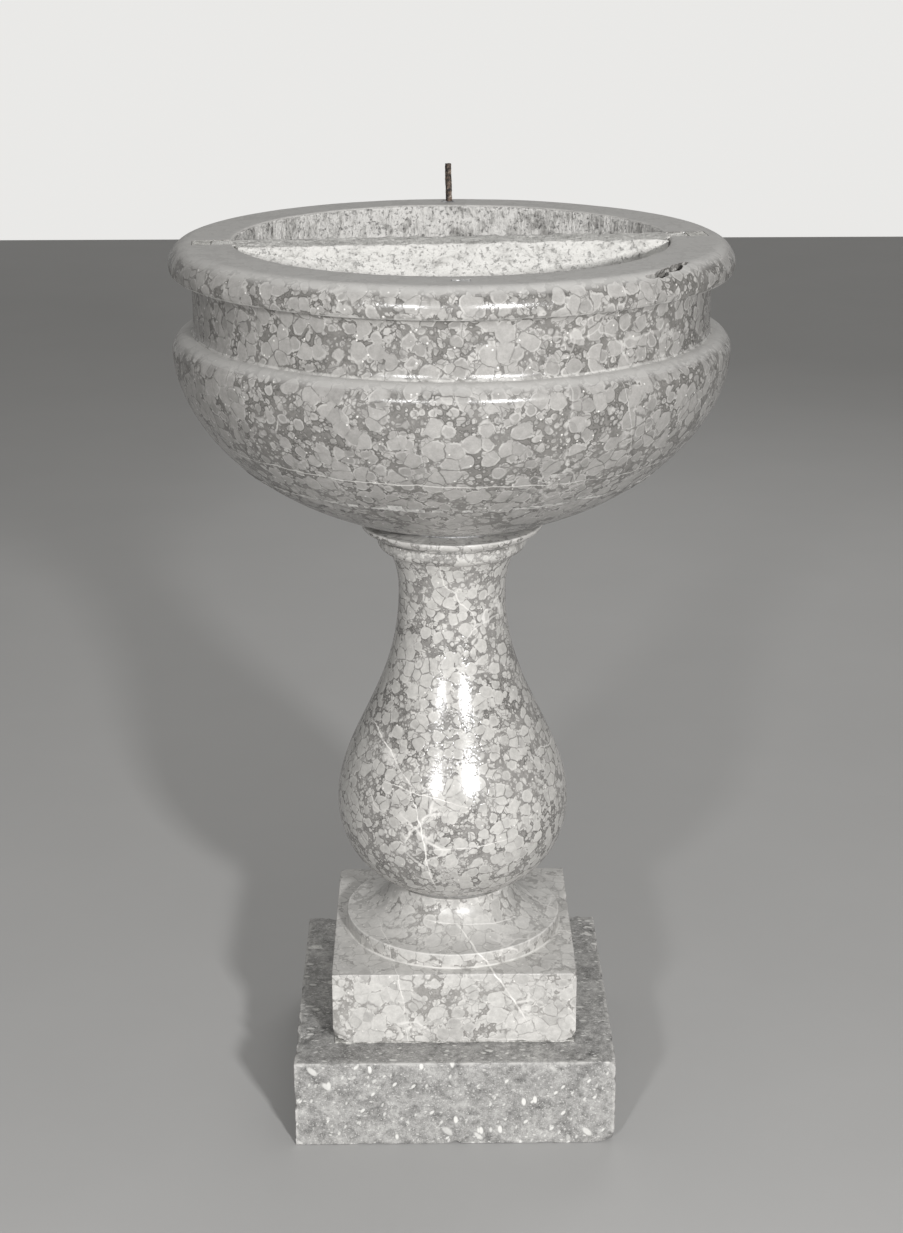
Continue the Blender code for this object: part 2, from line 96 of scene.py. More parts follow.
class Value:
    """A number that varies over a surface. Arithmetic on it adds Math nodes."""

    def __init__(self, palette: Palette, socket: Socket) -> None:
        """Wraps an output socket of that palette's node tree."""
        self.palette = palette
        self.socket = socket

    def _math(self, operation: str, *terms: Number) -> Value:
        """Adds one Math node.

        Args:
            operation: The node's operation.
            terms: Its inputs, in order.

        Returns:
            The node's result.
        """
        node = self.palette.node("ShaderNodeMath", {"operation": operation}, dict(enumerate(terms)))
        return Value(self.palette, node.outputs[0])

    def __add__(self, other: Number) -> Value:
        """Returns self + other."""
        return self._math("ADD", self, other)

    def __sub__(self, other: Number) -> Value:
        """Returns self - other."""
        return self._math("SUBTRACT", self, other)

    def __rsub__(self, other: Number) -> Value:
        """Returns other - self."""
        return self._math("SUBTRACT", other, self)

    def __mul__(self, other: Number) -> Value:
        """Returns self * other."""
        return self._math("MULTIPLY", self, other)

    def __truediv__(self, other: Number) -> Value:
        """Returns self / other."""
        return self._math("DIVIDE", self, other)

    def __pow__(self, other: Number) -> Value:
        """Returns self to the power other."""
        return self._math("POWER", self, other)

    def __abs__(self) -> Value:
        """Returns the size of self."""
        return self._math("ABSOLUTE", self)

    __radd__ = __add__
    __rmul__ = __mul__

    def at_least(self, other: Number) -> Value:
        """Returns the larger of the two."""
        return self._math("MAXIMUM", self, other)

    def at_most(self, other: Number) -> Value:
        """Returns the smaller of the two."""
        return self._math("MINIMUM", self, other)

    def ramp(self, start: float, end: float) -> Value:
        """Runs smoothly from 0 at start to 1 at end.

        Args:
            start: Where the result is 0; it may be above end.
            end: Where the result is 1.

        Returns:
            A value from 0 to 1.
        """
        sockets = {0: self, 1: start, 2: end, 3: 0.0, 4: 1.0}
        settings = {"interpolation_type": "SMOOTHSTEP"}
        node = self.palette.node("ShaderNodeMapRange", settings, sockets)
        return Value(self.palette, node.outputs[0])


Number = Union[Value, float]
Tone = Union[Socket, Colour]


class Palette:
    """Builds one procedural material on the Object coordinates of its piece."""

    def __init__(self, name: str) -> None:
        """Starts a material with a bare Principled shader."""
        self.material = bpy.data.materials.new(name)
        self.material.use_nodes = True
        self.tree = self.material.node_tree
        self.shader = self.tree.nodes["Principled BSDF"]
        self.place = self.node("ShaderNodeTexCoord", {}, {}).outputs["Object"]

    def node(self, kind: str, settings: dict, sockets: dict) -> bpy.types.Node:
        """Adds a node.

        Args:
            kind: The node's type.
            settings: Its properties, set before the sockets.
            sockets: Values or links for its inputs, by name or number.

        Returns:
            The new node.
        """
        made = self.tree.nodes.new(kind)
        for name, setting in settings.items():
            setattr(made, name, setting)
        for key, fed in sockets.items():
            self.feed(made.inputs[key], fed)
        return made

    def feed(self, socket: Socket, fed: Union[Number, Tone]) -> None:
        """Links a value or a socket to an input, or sets a plain number or colour on it."""
        if isinstance(fed, Value):
            self.tree.links.new(fed.socket, socket)
        elif isinstance(fed, Socket):
            self.tree.links.new(fed, socket)
        elif socket.type == "RGBA":
            socket.default_value = (*fed, 1.0)
        else:
            socket.default_value = fed

    def vector(self, operation: str, *terms: Union[Socket, Triple]) -> Socket:
        """Adds one Vector Math node and returns its vector."""
        node = self.node("ShaderNodeVectorMath", {"operation": operation}, dict(enumerate(terms)))
        return node.outputs[0]

    def stretched(self, scale: Triple, turn: Triple = (0.0, 0.0, 0.0)) -> Socket:
        """Returns the place turned and then scaled to so many cells a metre along each axis."""
        sizes = tuple(1 / cells for cells in scale)
        sockets = {"Vector": self.place, "Rotation": turn, "Scale": sizes}
        return self.node("ShaderNodeMapping", {"vector_type": "TEXTURE"}, sockets).outputs[0]

    def warped(self, scale: float, amount: float, detail: float = 3.0,
               place: Optional[Socket] = None) -> Socket:
        """Returns the place, pushed about by noise.

        Args:
            scale: Scale of the noise.
            amount: Greatest push, in metres.
            detail: Detail of the noise.
            place: The place to start from, or the plain one.

        Returns:
            The warped place.
        """
        start = place or self.place
        sockets = {"Vector": start, "Scale": scale, "Detail": detail}
        colour = self.node("ShaderNodeTexNoise", {}, sockets).outputs[1]
        centred = self.vector("SUBTRACT", colour, (0.5, 0.5, 0.5))
        return self.vector("ADD", start, self.vector("MULTIPLY", centred, (2 * amount,) * 3))

    def noise(self, scale: float, detail: float = 3.0, roughness: float = 0.5,
              place: Optional[Socket] = None) -> Value:
        """Returns fractal noise, mostly between 0.3 and 0.7.

        Args:
            scale: Noise cells per metre.
            detail: Octaves.
            roughness: Share of each finer octave.
            place: Where to read it, or the plain place.

        Returns:
            The noise.
        """
        sockets = {
            "Vector": place or self.place, "Scale": scale, "Detail": detail, "Roughness": roughness,
        }
        return Value(self, self.node("ShaderNodeTexNoise", {}, sockets).outputs[0])

    def cells(self, scale: float, place: Optional[Socket] = None) -> tuple[Value, Value]:
        """Scatters points and measures from them.

        Args:
            scale: Points per metre.
            place: Where to read it, or the plain place.

        Returns:
            The distance to the nearest point, in cells, and a number of that point's own.
        """
        sockets = {"Vector": place or self.place, "Scale": scale}
        node = self.node("ShaderNodeTexVoronoi", {"feature": "F1"}, sockets)
        own = self.node("ShaderNodeSeparateColor", {}, {0: node.outputs["Color"]})
        return Value(self, node.outputs["Distance"]), Value(self, own.outputs[0])

    def borders(self, scale: float, place: Optional[Socket] = None) -> Value:
        """Returns the distance to the border between scattered cells, 0 on the border."""
        sockets = {"Vector": place or self.place, "Scale": scale}
        node = self.node("ShaderNodeTexVoronoi", {"feature": "DISTANCE_TO_EDGE"}, sockets)
        return Value(self, node.outputs["Distance"])

    def axes(self) -> tuple[Value, Value, Value]:
        """Returns the place's X, Y and Z."""
        split = self.node("ShaderNodeSeparateXYZ", {}, {0: self.place})
        return tuple(Value(self, output) for output in split.outputs)

    def radius(self) -> Value:
        """Returns the distance from the font's axis."""
        x, y, _ = self.axes()
        return (x * x + y * y) ** 0.5

    def upward(self) -> Value:
        """Returns how far the surface faces up, from -1 to 1."""
        normal = self.node("ShaderNodeNewGeometry", {}, {}).outputs["Normal"]
        return Value(self, self.node("ShaderNodeSeparateXYZ", {}, {0: normal}).outputs[2])

    def ring(self, radius: float, height: float) -> Value:
        """Returns the distance from a circle about the font's axis."""
        across = self.radius() - radius
        along = self.axes()[2] - height
        return (across * across + along * along) ** 0.5

    def spot(self, centre: Triple, size: Triple) -> Value:
        """Returns the distance from a place, in units of its size along each axis."""
        offset = self.vector("SUBTRACT", self.place, centre)
        scaled = self.vector("DIVIDE", offset, size)
        node = self.node("ShaderNodeVectorMath", {"operation": "LENGTH"}, {0: scaled})
        return Value(self, node.outputs["Value"])

    def mix(self, first: Tone, second: Tone, share: Number, blend: str = "MIX") -> Socket:
        """Blends two colours.

        Args:
            first: Colour where share is 0.
            second: Colour where share is 1.
            share: The blend's factor.
            blend: The Mix node's blend type.

        Returns:
            The blended colour.
        """
        settings = {"data_type": "RGBA", "blend_type": blend, "clamp_factor": True}
        return self.node("ShaderNodeMix", settings, {0: share, 6: first, 7: second}).outputs[2]

    def shaded(self, colour: Tone, amount: Number) -> Socket:
        """Returns the colour, made lighter or darker by that factor."""
        grey = self.node("ShaderNodeCombineColor", {}, {0: amount, 1: amount, 2: amount}).outputs[0]
        return self.mix(colour, grey, 1.0, "MULTIPLY")

    def bump(self, height: Value, depth: float, strength: float = 1.0,
             under: Optional[Socket] = None) -> Socket:
        """Returns a normal bent by a height.

        Args:
            height: The relief, 0 to 1.
            depth: Its depth in metres.
            strength: Share of its effect.
            under: The normal it is laid on.

        Returns:
            The bent normal.
        """
        sockets = {"Height": height, "Distance": depth, "Strength": strength}
        if under is not None:
            sockets["Normal"] = under
        return self.node("ShaderNodeBump", {}, sockets).outputs[0]

    def done(self, colour: Tone, roughness: Number, normal: Optional[Socket] = None,
             metallic: Number = 0.0) -> bpy.types.Material:
        """Feeds the shader.

        Args:
            colour: Base colour.
            roughness: Roughness.
            normal: Bent normal.
            metallic: Metallic share.

        Returns:
            The finished material.
        """
        self.feed(self.shader.inputs["Base Color"], colour)
        self.feed(self.shader.inputs["Roughness"], roughness)
        self.feed(self.shader.inputs["Metallic"], metallic)
        if normal is not None:
            self.feed(self.shader.inputs["Normal"], normal)
        return self.material


# ---------------------------------------------------------------- finishes

@dataclass(frozen=True)
class Arris:
    """A turned edge that has worn pale: a circle about the font's axis."""

    radius: float
    height: float
    width: float = 0.004
    strength: float = 0.5


@dataclass(frozen=True)
class Vein:
    """A calcite vein: a thin, slightly buckled plane through the stone."""

    through: Triple
    facing: Triple
    width: float = 0.0009
    wobble: float = 0.012
    strength: float = 0.7
    reach: Triple = (0.5, 0.5, 0.5)

    def shown(self, palette: Palette) -> Value:
        """Returns where the vein shows, from 0 to 1."""
        offset = palette.vector("SUBTRACT", palette.place, self.through)
        sockets = {0: offset, 1: Vector(self.facing).normalized()}
        node = palette.node("ShaderNodeVectorMath", {"operation": "DOT_PRODUCT"}, sockets)
        away = Value(palette, node.outputs["Value"])
        bent = abs(away + (palette.noise(16.0, 5.0, 0.6) - 0.5) * self.wobble)
        near = palette.spot(self.through, self.reach).ramp(1.0, 0.6)
        gaps = palette.noise(48.0, 3.0, 0.6).ramp(0.36, 0.52)
        line_share = bent.ramp(self.width, self.width * 0.25) * near
        return line_share * (0.35 + gaps * 0.65) * self.strength


@dataclass(frozen=True)
class NodularMarble:
    """Polished limestone of pale rounded nodules in a darker matrix, with thin seams between."""

    name: str
    nodule: Colour = (0.236, 0.229, 0.218)
    pale_nodule: Colour = (0.315, 0.306, 0.292)
    matrix: Colour = (0.160, 0.154, 0.145)
    seam: Colour = (0.080, 0.076, 0.071)
    calcite: Colour = (0.78, 0.76, 0.73)
    nodule_scale: float = 30.0
    packing: float = 0.0
    polish: float = 0.17
    veins: tuple[Vein, ...] = ()
    clouds: tuple[tuple[Triple, Triple], ...] = ()
    arrises: tuple[Arris, ...] = ()
    # Upward faces get a pale, dull coat. Its colour is partly real dust and partly painted light
    # falling on tops from above.
    dull_and_lit_top: float = 0.35
    hairs: float = 0.45
    dust_and_top_light: Colour = (0.50, 0.490, 0.473)
    scuff: Colour = (0.60, 0.59, 0.565)

    def paint(self) -> bpy.types.Material:
        """Returns the material."""
        palette = Palette(self.name)
        inside, own, edge, seams = self._nodules(palette)
        grain = palette.noise(420.0, 4.0, 0.65)
        mottle = palette.noise(110.0, 5.0, 0.68)
        paleness = (own * 0.7 + palette.noise(8.0, 2.0)).ramp(0.45, 1.15)
        body = palette.mix(self.nodule, self.pale_nodule, paleness)
        body = palette.shaded(body, 0.64 + mottle * 0.72)
        ground = palette.shaded(self.matrix, 0.50 + mottle * 1.05)
        colour = palette.mix(ground, body, inside)
        rim = abs(edge - 0.0015).ramp(0.0013, 0.0003) * palette.noise(70.0, 2.0).ramp(0.40, 0.60)
        colour = palette.mix(colour, self.calcite, rim * 0.20)
        colour = palette.mix(colour, self.seam, seams)
        colour = palette.shaded(colour, 0.84 + grain * 0.32)
        colour = palette.mix(colour, self.calcite, self._calcite(palette))
        # Painted light and dust: faces that look up are blended towards a pale colour that stands
        # for dust and for painted top light together.
        dusty_and_lit = palette.upward().ramp(0.55, 0.95) * self.dull_and_lit_top
        colour = palette.mix(colour, self.dust_and_top_light, dusty_and_lit)
        worn = self._worn(palette)
        colour = palette.mix(colour, self.scuff, worn)
        smears = palette.noise(14.0, 4.0, 0.65)
        roughness = self.polish + smears * 0.12 + dusty_and_lit * 0.22 + worn * 0.3 + (1.0 - inside) * 0.04
        fine = palette.bump(grain, 0.0004, 0.30)
        return palette.done(colour, roughness, palette.bump(inside, 0.0005, 0.25, fine))

    def _nodules(self, palette: Palette) -> tuple[Value, Value, Value, Value]:
        """Draws nodules of three sizes, run together where they touch.

        Args:
            palette: The material being built.

        Returns:
            The nodules' mask, each one's own number, the depth in metres inside their edge, and
            the mask of the dark films round and between them.
        """
        place = palette.warped(95.0, 0.0028, 3.0, palette.warped(24.0, 0.0065, 2.0))
        crowd = (palette.noise(13.0, 3.0, 0.6) - 0.5) * 0.75 + self.packing
        depths, numbers = [], []
        for size, least, spread in ((1.0, 0.33, 0.40), (1.9, 0.32, 0.36), (3.9, 0.18, 0.45)):
            scale = self.nodule_scale * size
            near, own = palette.cells(scale, place)
            depths.append((least + own * spread + crowd - near) / scale)
            numbers.append(own)
        edge = depths[0].at_least(depths[1]).at_least(depths[2])
        large = depths[0].ramp(0.0, 0.001)
        own = numbers[0] * large + numbers[1] * (1.0 - large)
        inside = edge.ramp(-0.0003, 0.0008)
        films = palette.noise(21.0, 3.0, 0.6)
        outline = abs(edge + 0.0002).ramp(0.0009, 0.0001) * films.ramp(0.38, 0.62) * 0.75
        border = palette.borders(self.nodule_scale, place) / self.nodule_scale
        between = border.ramp(0.0011, 0.0002) * large * films.ramp(0.62, 0.42) * 0.7
        fine = palette.borders(self.nodule_scale * 1.8, place) / (self.nodule_scale * 1.8)
        between = between.at_least(fine.ramp(0.0008, 0.0002) * (1.0 - large) * inside * 0.45)
        return inside, own, edge, outline.at_least(between)

    def _calcite(self, palette: Palette) -> Value:
        """Returns where white specks, hairs and veins show."""
        speck, own = palette.cells(170.0)
        shares = speck.ramp(0.24, 0.14) * own.ramp(0.90, 0.93) * 0.8
        hairs = palette.borders(7.5, palette.warped(9.0, 0.045, 4.0)).ramp(0.012, 0.003)
        shares = shares.at_least(hairs * palette.noise(5.0, 1.0).ramp(0.52, 0.62) * self.hairs)
        for vein in self.veins:
            shares = shares.at_least(vein.shown(palette))
        if self.clouds:
            web = palette.borders(24.0, palette.warped(20.0, 0.020, 5.0)).ramp(0.070, 0.010)
            cloud = palette.noise(52.0, 6.0, 0.72).ramp(0.48, 0.70)
            for centre, size in self.clouds:
                near = palette.spot(centre, size).ramp(1.0, 0.3)
                shares = shares.at_least((web * 0.6).at_least(cloud * 0.55) * near)
        return shares

    def _worn(self, palette: Palette) -> Value:
        """Returns how far the surface is scuffed pale, most along its arrises."""
        patchy = palette.noise(42.0, 5.0, 0.7)
        worn = patchy.ramp(0.74, 0.86) * 0.2
        for arris in self.arrises:
            wide = arris.width * (0.35 + palette.noise(23.0, 4.0, 0.7) * 1.3)
            near = 1.0 - palette.ring(arris.radius, arris.height) / wide
            near = near.at_least(0.0).ramp(0.0, 0.6)
            worn = worn.at_least(near * patchy.ramp(0.34, 0.56) * arris.strength)
        return worn


@dataclass(frozen=True)
class FossilLimestone:
    """Dark honed limestone full of pale shell flecks, with a few ovals and rings."""

    name: str
    ground: Colour = (0.280, 0.275, 0.265)
    fleck: Colour = (0.72, 0.71, 0.68)
    shell: Colour = (0.66, 0.65, 0.62)
    scuff: Colour = (0.50, 0.49, 0.47)
    half_side: float = 0.2
    top: float = 0.12

    def paint(self) -> bpy.types.Material:
        """Returns the material."""
        palette = Palette(self.name)
        cloud = palette.noise(30.0, 6.0, 0.70)
        mottle = palette.noise(130.0, 4.0, 0.7)
        sand = palette.noise(620.0, 4.0, 0.75)
        colour = palette.shaded(self.ground, cloud * 2.20 + mottle * 2.00 + sand * 1.50 - 1.85)
        flecks = self._flecks(palette)
        colour = palette.mix(colour, self.fleck, flecks)
        shells = self._shells(palette)
        colour = palette.mix(colour, self.shell, shells)
        worn = self._worn(palette)
        colour = palette.mix(colour, self.scuff, worn)
        # Faces that look up are made up to a tenth darker.
        top_darkening = palette.upward().ramp(0.5, 0.95)
        colour = palette.shaded(colour, 1.0 - top_darkening * 0.10)
        roughness = 0.46 + mottle * 0.20 - flecks * 0.08 + worn * 0.25
        fine = palette.bump(mottle, 0.0006, 0.5)
        normal = palette.bump(flecks.at_least(shells), 0.0004, 0.4, fine)
        return palette.done(colour, roughness, normal)

    @staticmethod
    def _flecks(palette: Palette) -> Value:
        """Returns short shell cuts lying at several angles, among fine debris."""
        total = palette.noise(330.0, 4.0, 0.75).ramp(0.55, 0.72) * 0.5
        kinds = (
            ((0.3, 0.3, 0.2), 0.95, 0.88, 0.6), ((0.2, 2.3, 0.1), 0.60, 0.86, 0.8),
            ((0.5, 1.5, 0.3), 0.42, 0.84, 0.9), ((0.1, 2.8, 0.4), 1.60, 0.66, 0.5),
            ((0.4, 0.8, 0.1), 0.27, 0.84, 0.7), ((0.3, 1.9, 0.2), 0.75, 0.86, 0.6),
        )
        for turn, fineness, rarity, strength in kinds:
            scale = (120.0 * fineness, 400.0 * fineness, 230.0 * fineness)
            near, own = palette.cells(1.0, palette.stretched(scale, turn))
            cut = near.ramp(0.34, 0.20) * own.ramp(rarity, rarity + 0.05)
            total = total.at_least(cut * strength)
        return total

    @staticmethod
    def _shells(palette: Palette) -> Value:
        """Returns the few larger fossils: filled ovals and open rings."""
        place = palette.stretched((27.0, 36.0, 21.0), (0.4, 0.7, 0.3))
        near, own = palette.cells(1.0, palette.warped(2.4, 0.16, 3.0, place))
        ovals = near.ramp(0.25, 0.17) * own.ramp(0.80, 0.83)
        rings = abs(near - 0.22).ramp(0.07, 0.02) * own.ramp(0.020, 0.014)
        texture = palette.noise(330.0, 3.0, 0.7).ramp(0.30, 0.52)
        return ovals.at_least(rings * 0.65) * texture

    def _worn(self, palette: Palette) -> Value:
        """Returns how far the block's edges are rubbed pale."""
        x, y, z = palette.axes()
        across = self.half_side - abs(x)
        along = self.half_side - abs(y)
        down = (self.top - z).at_least(0.0)
        least = across.at_most(along).at_most(down)
        most = across.at_least(along).at_least(down)
        second = across + along + down - least - most
        return second.ramp(0.006, 0.001) * palette.noise(55.0, 5.0, 0.7).ramp(0.38, 0.60) * 0.8


@dataclass(frozen=True)
class HewnMarble:
    """Stone dressed with a point chisel and furred with lime, as inside the basin."""

    name: str
    pale: Colour = (0.76, 0.75, 0.72)
    dark: Colour = (0.30, 0.29, 0.275)
    nodule_scale: float = 46.0
    grime: float = 0.5
    strokes: Triple = (210.0, 210.0, 60.0)
    # How dark the pits are painted: painted shade lying in the hollows.
    pit_shade: float = 0.6
    relief: float = 0.006

    def paint(self) -> bpy.types.Material:
        """Returns the material."""
        palette = Palette(self.name)
        place = palette.warped(40.0, 0.006, 4.0)
        near, own = palette.cells(self.nodule_scale, place)
        blotch = palette.noise(34.0, 6.0, 0.72)
        marks = palette.noise(1.0, 4.0, 0.7, palette.stretched(self.strokes))
        share = (blotch * 0.9 + own * 0.25 + marks * 1.1 - near * 0.25 - 0.42 - self.grime * 0.3)
        colour = palette.mix(self.dark, self.pale, share.ramp(0.12, 0.62))
        pits = palette.noise(210.0, 5.0, 0.75).ramp(0.46, 0.30)
        # Painted shade: the pits are darkened as if shade lay in them; the bump below also sinks
        # them.
        colour = palette.shaded(colour, 1.0 - pits * self.pit_shade)
        height = marks * 0.9 + blotch * 0.5 + palette.noise(300.0, 5.0, 0.75) * 0.5 - pits * 0.5
        return palette.done(colour, 0.88, palette.bump(height, self.relief, 0.85))


@dataclass(frozen=True)
class Mortar:
    """Dry pale lime mortar with sand in it."""

    name: str
    pale: Colour = (0.56, 0.55, 0.52)
    dark: Colour = (0.22, 0.215, 0.20)

    def paint(self) -> bpy.types.Material:
        """Returns the material."""
        palette = Palette(self.name)
        sand, own = palette.cells(520.0)
        blotch = palette.noise(90.0, 5.0, 0.7)
        colour = palette.mix(self.dark, self.pale, blotch.ramp(0.33, 0.60))
        colour = palette.shaded(colour, 0.75 + own * 0.4)
        height = blotch * 0.7 + sand * 0.5
        return palette.done(colour, 0.93, palette.bump(height, 0.0022, 0.8))


@dataclass(frozen=True)
class Lead:
    """Soft grey lead, tarnished, with hammer and chasing marks."""

    name: str
    bright: Colour = (0.50, 0.50, 0.505)
    dull: Colour = (0.17, 0.17, 0.175)

    def paint(self) -> bpy.types.Material:
        """Returns the material."""
        palette = Palette(self.name)
        blotch = palette.noise(170.0, 5.0, 0.65)
        near, own = palette.cells(230.0)
        colour = palette.mix(self.dull, self.bright, (blotch + own * 0.25).ramp(0.42, 0.72))
        height = near * 0.6 + blotch * 0.6
        roughness = 0.48 + blotch * 0.3
        return palette.done(colour, roughness, palette.bump(height, 0.0018, 0.6), 0.55)


@dataclass(frozen=True)
class RustedIron:
    """Forged iron under scaly rust."""

    name: str
    scale_skin: Colour = (0.035, 0.032, 0.030)
    rust: Colour = (0.135, 0.095, 0.070)
    pale_rust: Colour = (0.27, 0.235, 0.20)

    def paint(self) -> bpy.types.Material:
        """Returns the material."""
        palette = Palette(self.name)
        patches = palette.noise(210.0, 5.0, 0.7)
        flakes, own = palette.cells(520.0, palette.warped(200.0, 0.002))
        colour = palette.mix(self.scale_skin, self.rust, patches.ramp(0.40, 0.60))
        scales = own.ramp(0.72, 0.80) * patches.ramp(0.45, 0.60)
        colour = palette.mix(colour, self.pale_rust, scales)
        metallic = patches.ramp(0.55, 0.40) * 0.6
        height = patches * 0.7 + flakes * 0.5
        normal = palette.bump(height, 0.0016, 0.8)
        return palette.done(colour, 0.62 + patches * 0.3, normal, metallic)


@dataclass(frozen=True)
class TonedBronze:
    """Cast bronze gone brown, brighter where it is handled."""

    name: str
    bright: Colour = (0.46, 0.38, 0.24)
    brown: Colour = (0.125, 0.100, 0.070)
    verdigris: Colour = (0.20, 0.27, 0.22)

    def paint(self) -> bpy.types.Material:
        """Returns the material."""
        palette = Palette(self.name)
        patches = palette.noise(150.0, 5.0, 0.65)
        colour = palette.mix(self.brown, self.bright, patches.ramp(0.42, 0.66) * 0.8)
        green = palette.noise(90.0, 6.0, 0.75).ramp(0.56, 0.66) * 0.55
        colour = palette.mix(colour, self.verdigris, green)
        metallic = 0.95 - green
        roughness = 0.30 + patches * 0.25 + green * 0.5
        height = patches + palette.noise(700.0, 3.0) * 0.4
        return palette.done(colour, roughness, palette.bump(height, 0.0006, 0.5), metallic)


@dataclass(frozen=True)
class PaleFloor:
    """Plain pale floor."""

    name: str = "pale_floor"
    tone: Colour = (0.36, 0.356, 0.350)

    def paint(self) -> bpy.types.Material:
        """Returns the material."""
        palette = Palette(self.name)
        cloud = palette.noise(3.0, 4.0, 0.6)
        colour = palette.shaded(self.tone, 0.96 + cloud * 0.08)
        return palette.done(colour, 0.6)


# ---------------------------------------------------------------- outlines

def arc(centre: Point, radii: Point, start: float, end: float, steps: int) -> list[Point]:
    """Draws an elliptical arc in the (radius, height) plane.

    Args:
        centre: Centre of the ellipse.
        radii: Its two half axes.
        start: First angle in degrees, 0 outwards and 90 up.
        end: Last angle in degrees.
        steps: Pieces the arc is drawn in.

    Returns:
        The arc's points.
    """
    (x, z), (across, up) = centre, radii
    angles = [math.radians(start + (end - start) * i / steps) for i in range(steps + 1)]
    return [(x + across * math.cos(angle), z + up * math.sin(angle)) for angle in angles]


def bezier(corners: tuple[Point, Point, Point, Point], steps: int) -> list[Point]:
    """Draws a cubic curve in the (radius, height) plane.

    Args:
        corners: Start, its handle, the end's handle and the end.
        steps: Pieces the curve is drawn in.

    Returns:
        The curve's points.
    """
    points = []
    for i in range(steps + 1):
        t = i / steps
        weights = ((1 - t) ** 3, 3 * t * (1 - t) ** 2, 3 * t * t * (1 - t), t ** 3)
        points.append(tuple(sum(w * c[k] for w, c in zip(weights, corners)) for k in (0, 1)))
    return points


def line(start: Point, end: Point, step: float) -> list[Point]:
    """Divides a straight stretch into even pieces no longer than step, without its first point."""
    count = max(1, math.ceil(math.dist(start, end) / step))
    return [tuple(s + (e - s) * i / count for s, e in zip(start, end)) for i in range(1, count + 1)]


# ---------------------------------------------------------------- workshop

@dataclass(frozen=True)
class Roughness:
    """An irregularity that is pressed into a mesh.

    Values of the pattern below the threshold leave the surface alone; above it the surface is
    pushed in by up to depth. With no threshold it is pushed both ways by half the depth.
    """

    relief: Relief
    size: float
    depth: float
    threshold: Optional[float] = None
    contrast: float = 1.0
    drawn_out: Triple = (1.0, 1.0, 1.0)


def uneven(size: float, depth: float, drawn_out: Triple = (1.0, 1.0, 1.0)) -> Roughness:
    """Returns soft swells and hollows, drawn out along the axes."""
    return Roughness(Relief.CLOUDS, size, depth, drawn_out=drawn_out)


def grainy(size: float, depth: float) -> Roughness:
    """Returns a fine sandy relief."""
    return Roughness(Relief.STUCCO, size, depth)


def chipped(size: float, depth: float, threshold: float, contrast: float) -> Roughness:
    """Returns scattered losses, fewer with a higher threshold and steeper with more contrast."""
    return Roughness(Relief.CLOUDS, size, depth, threshold, contrast)


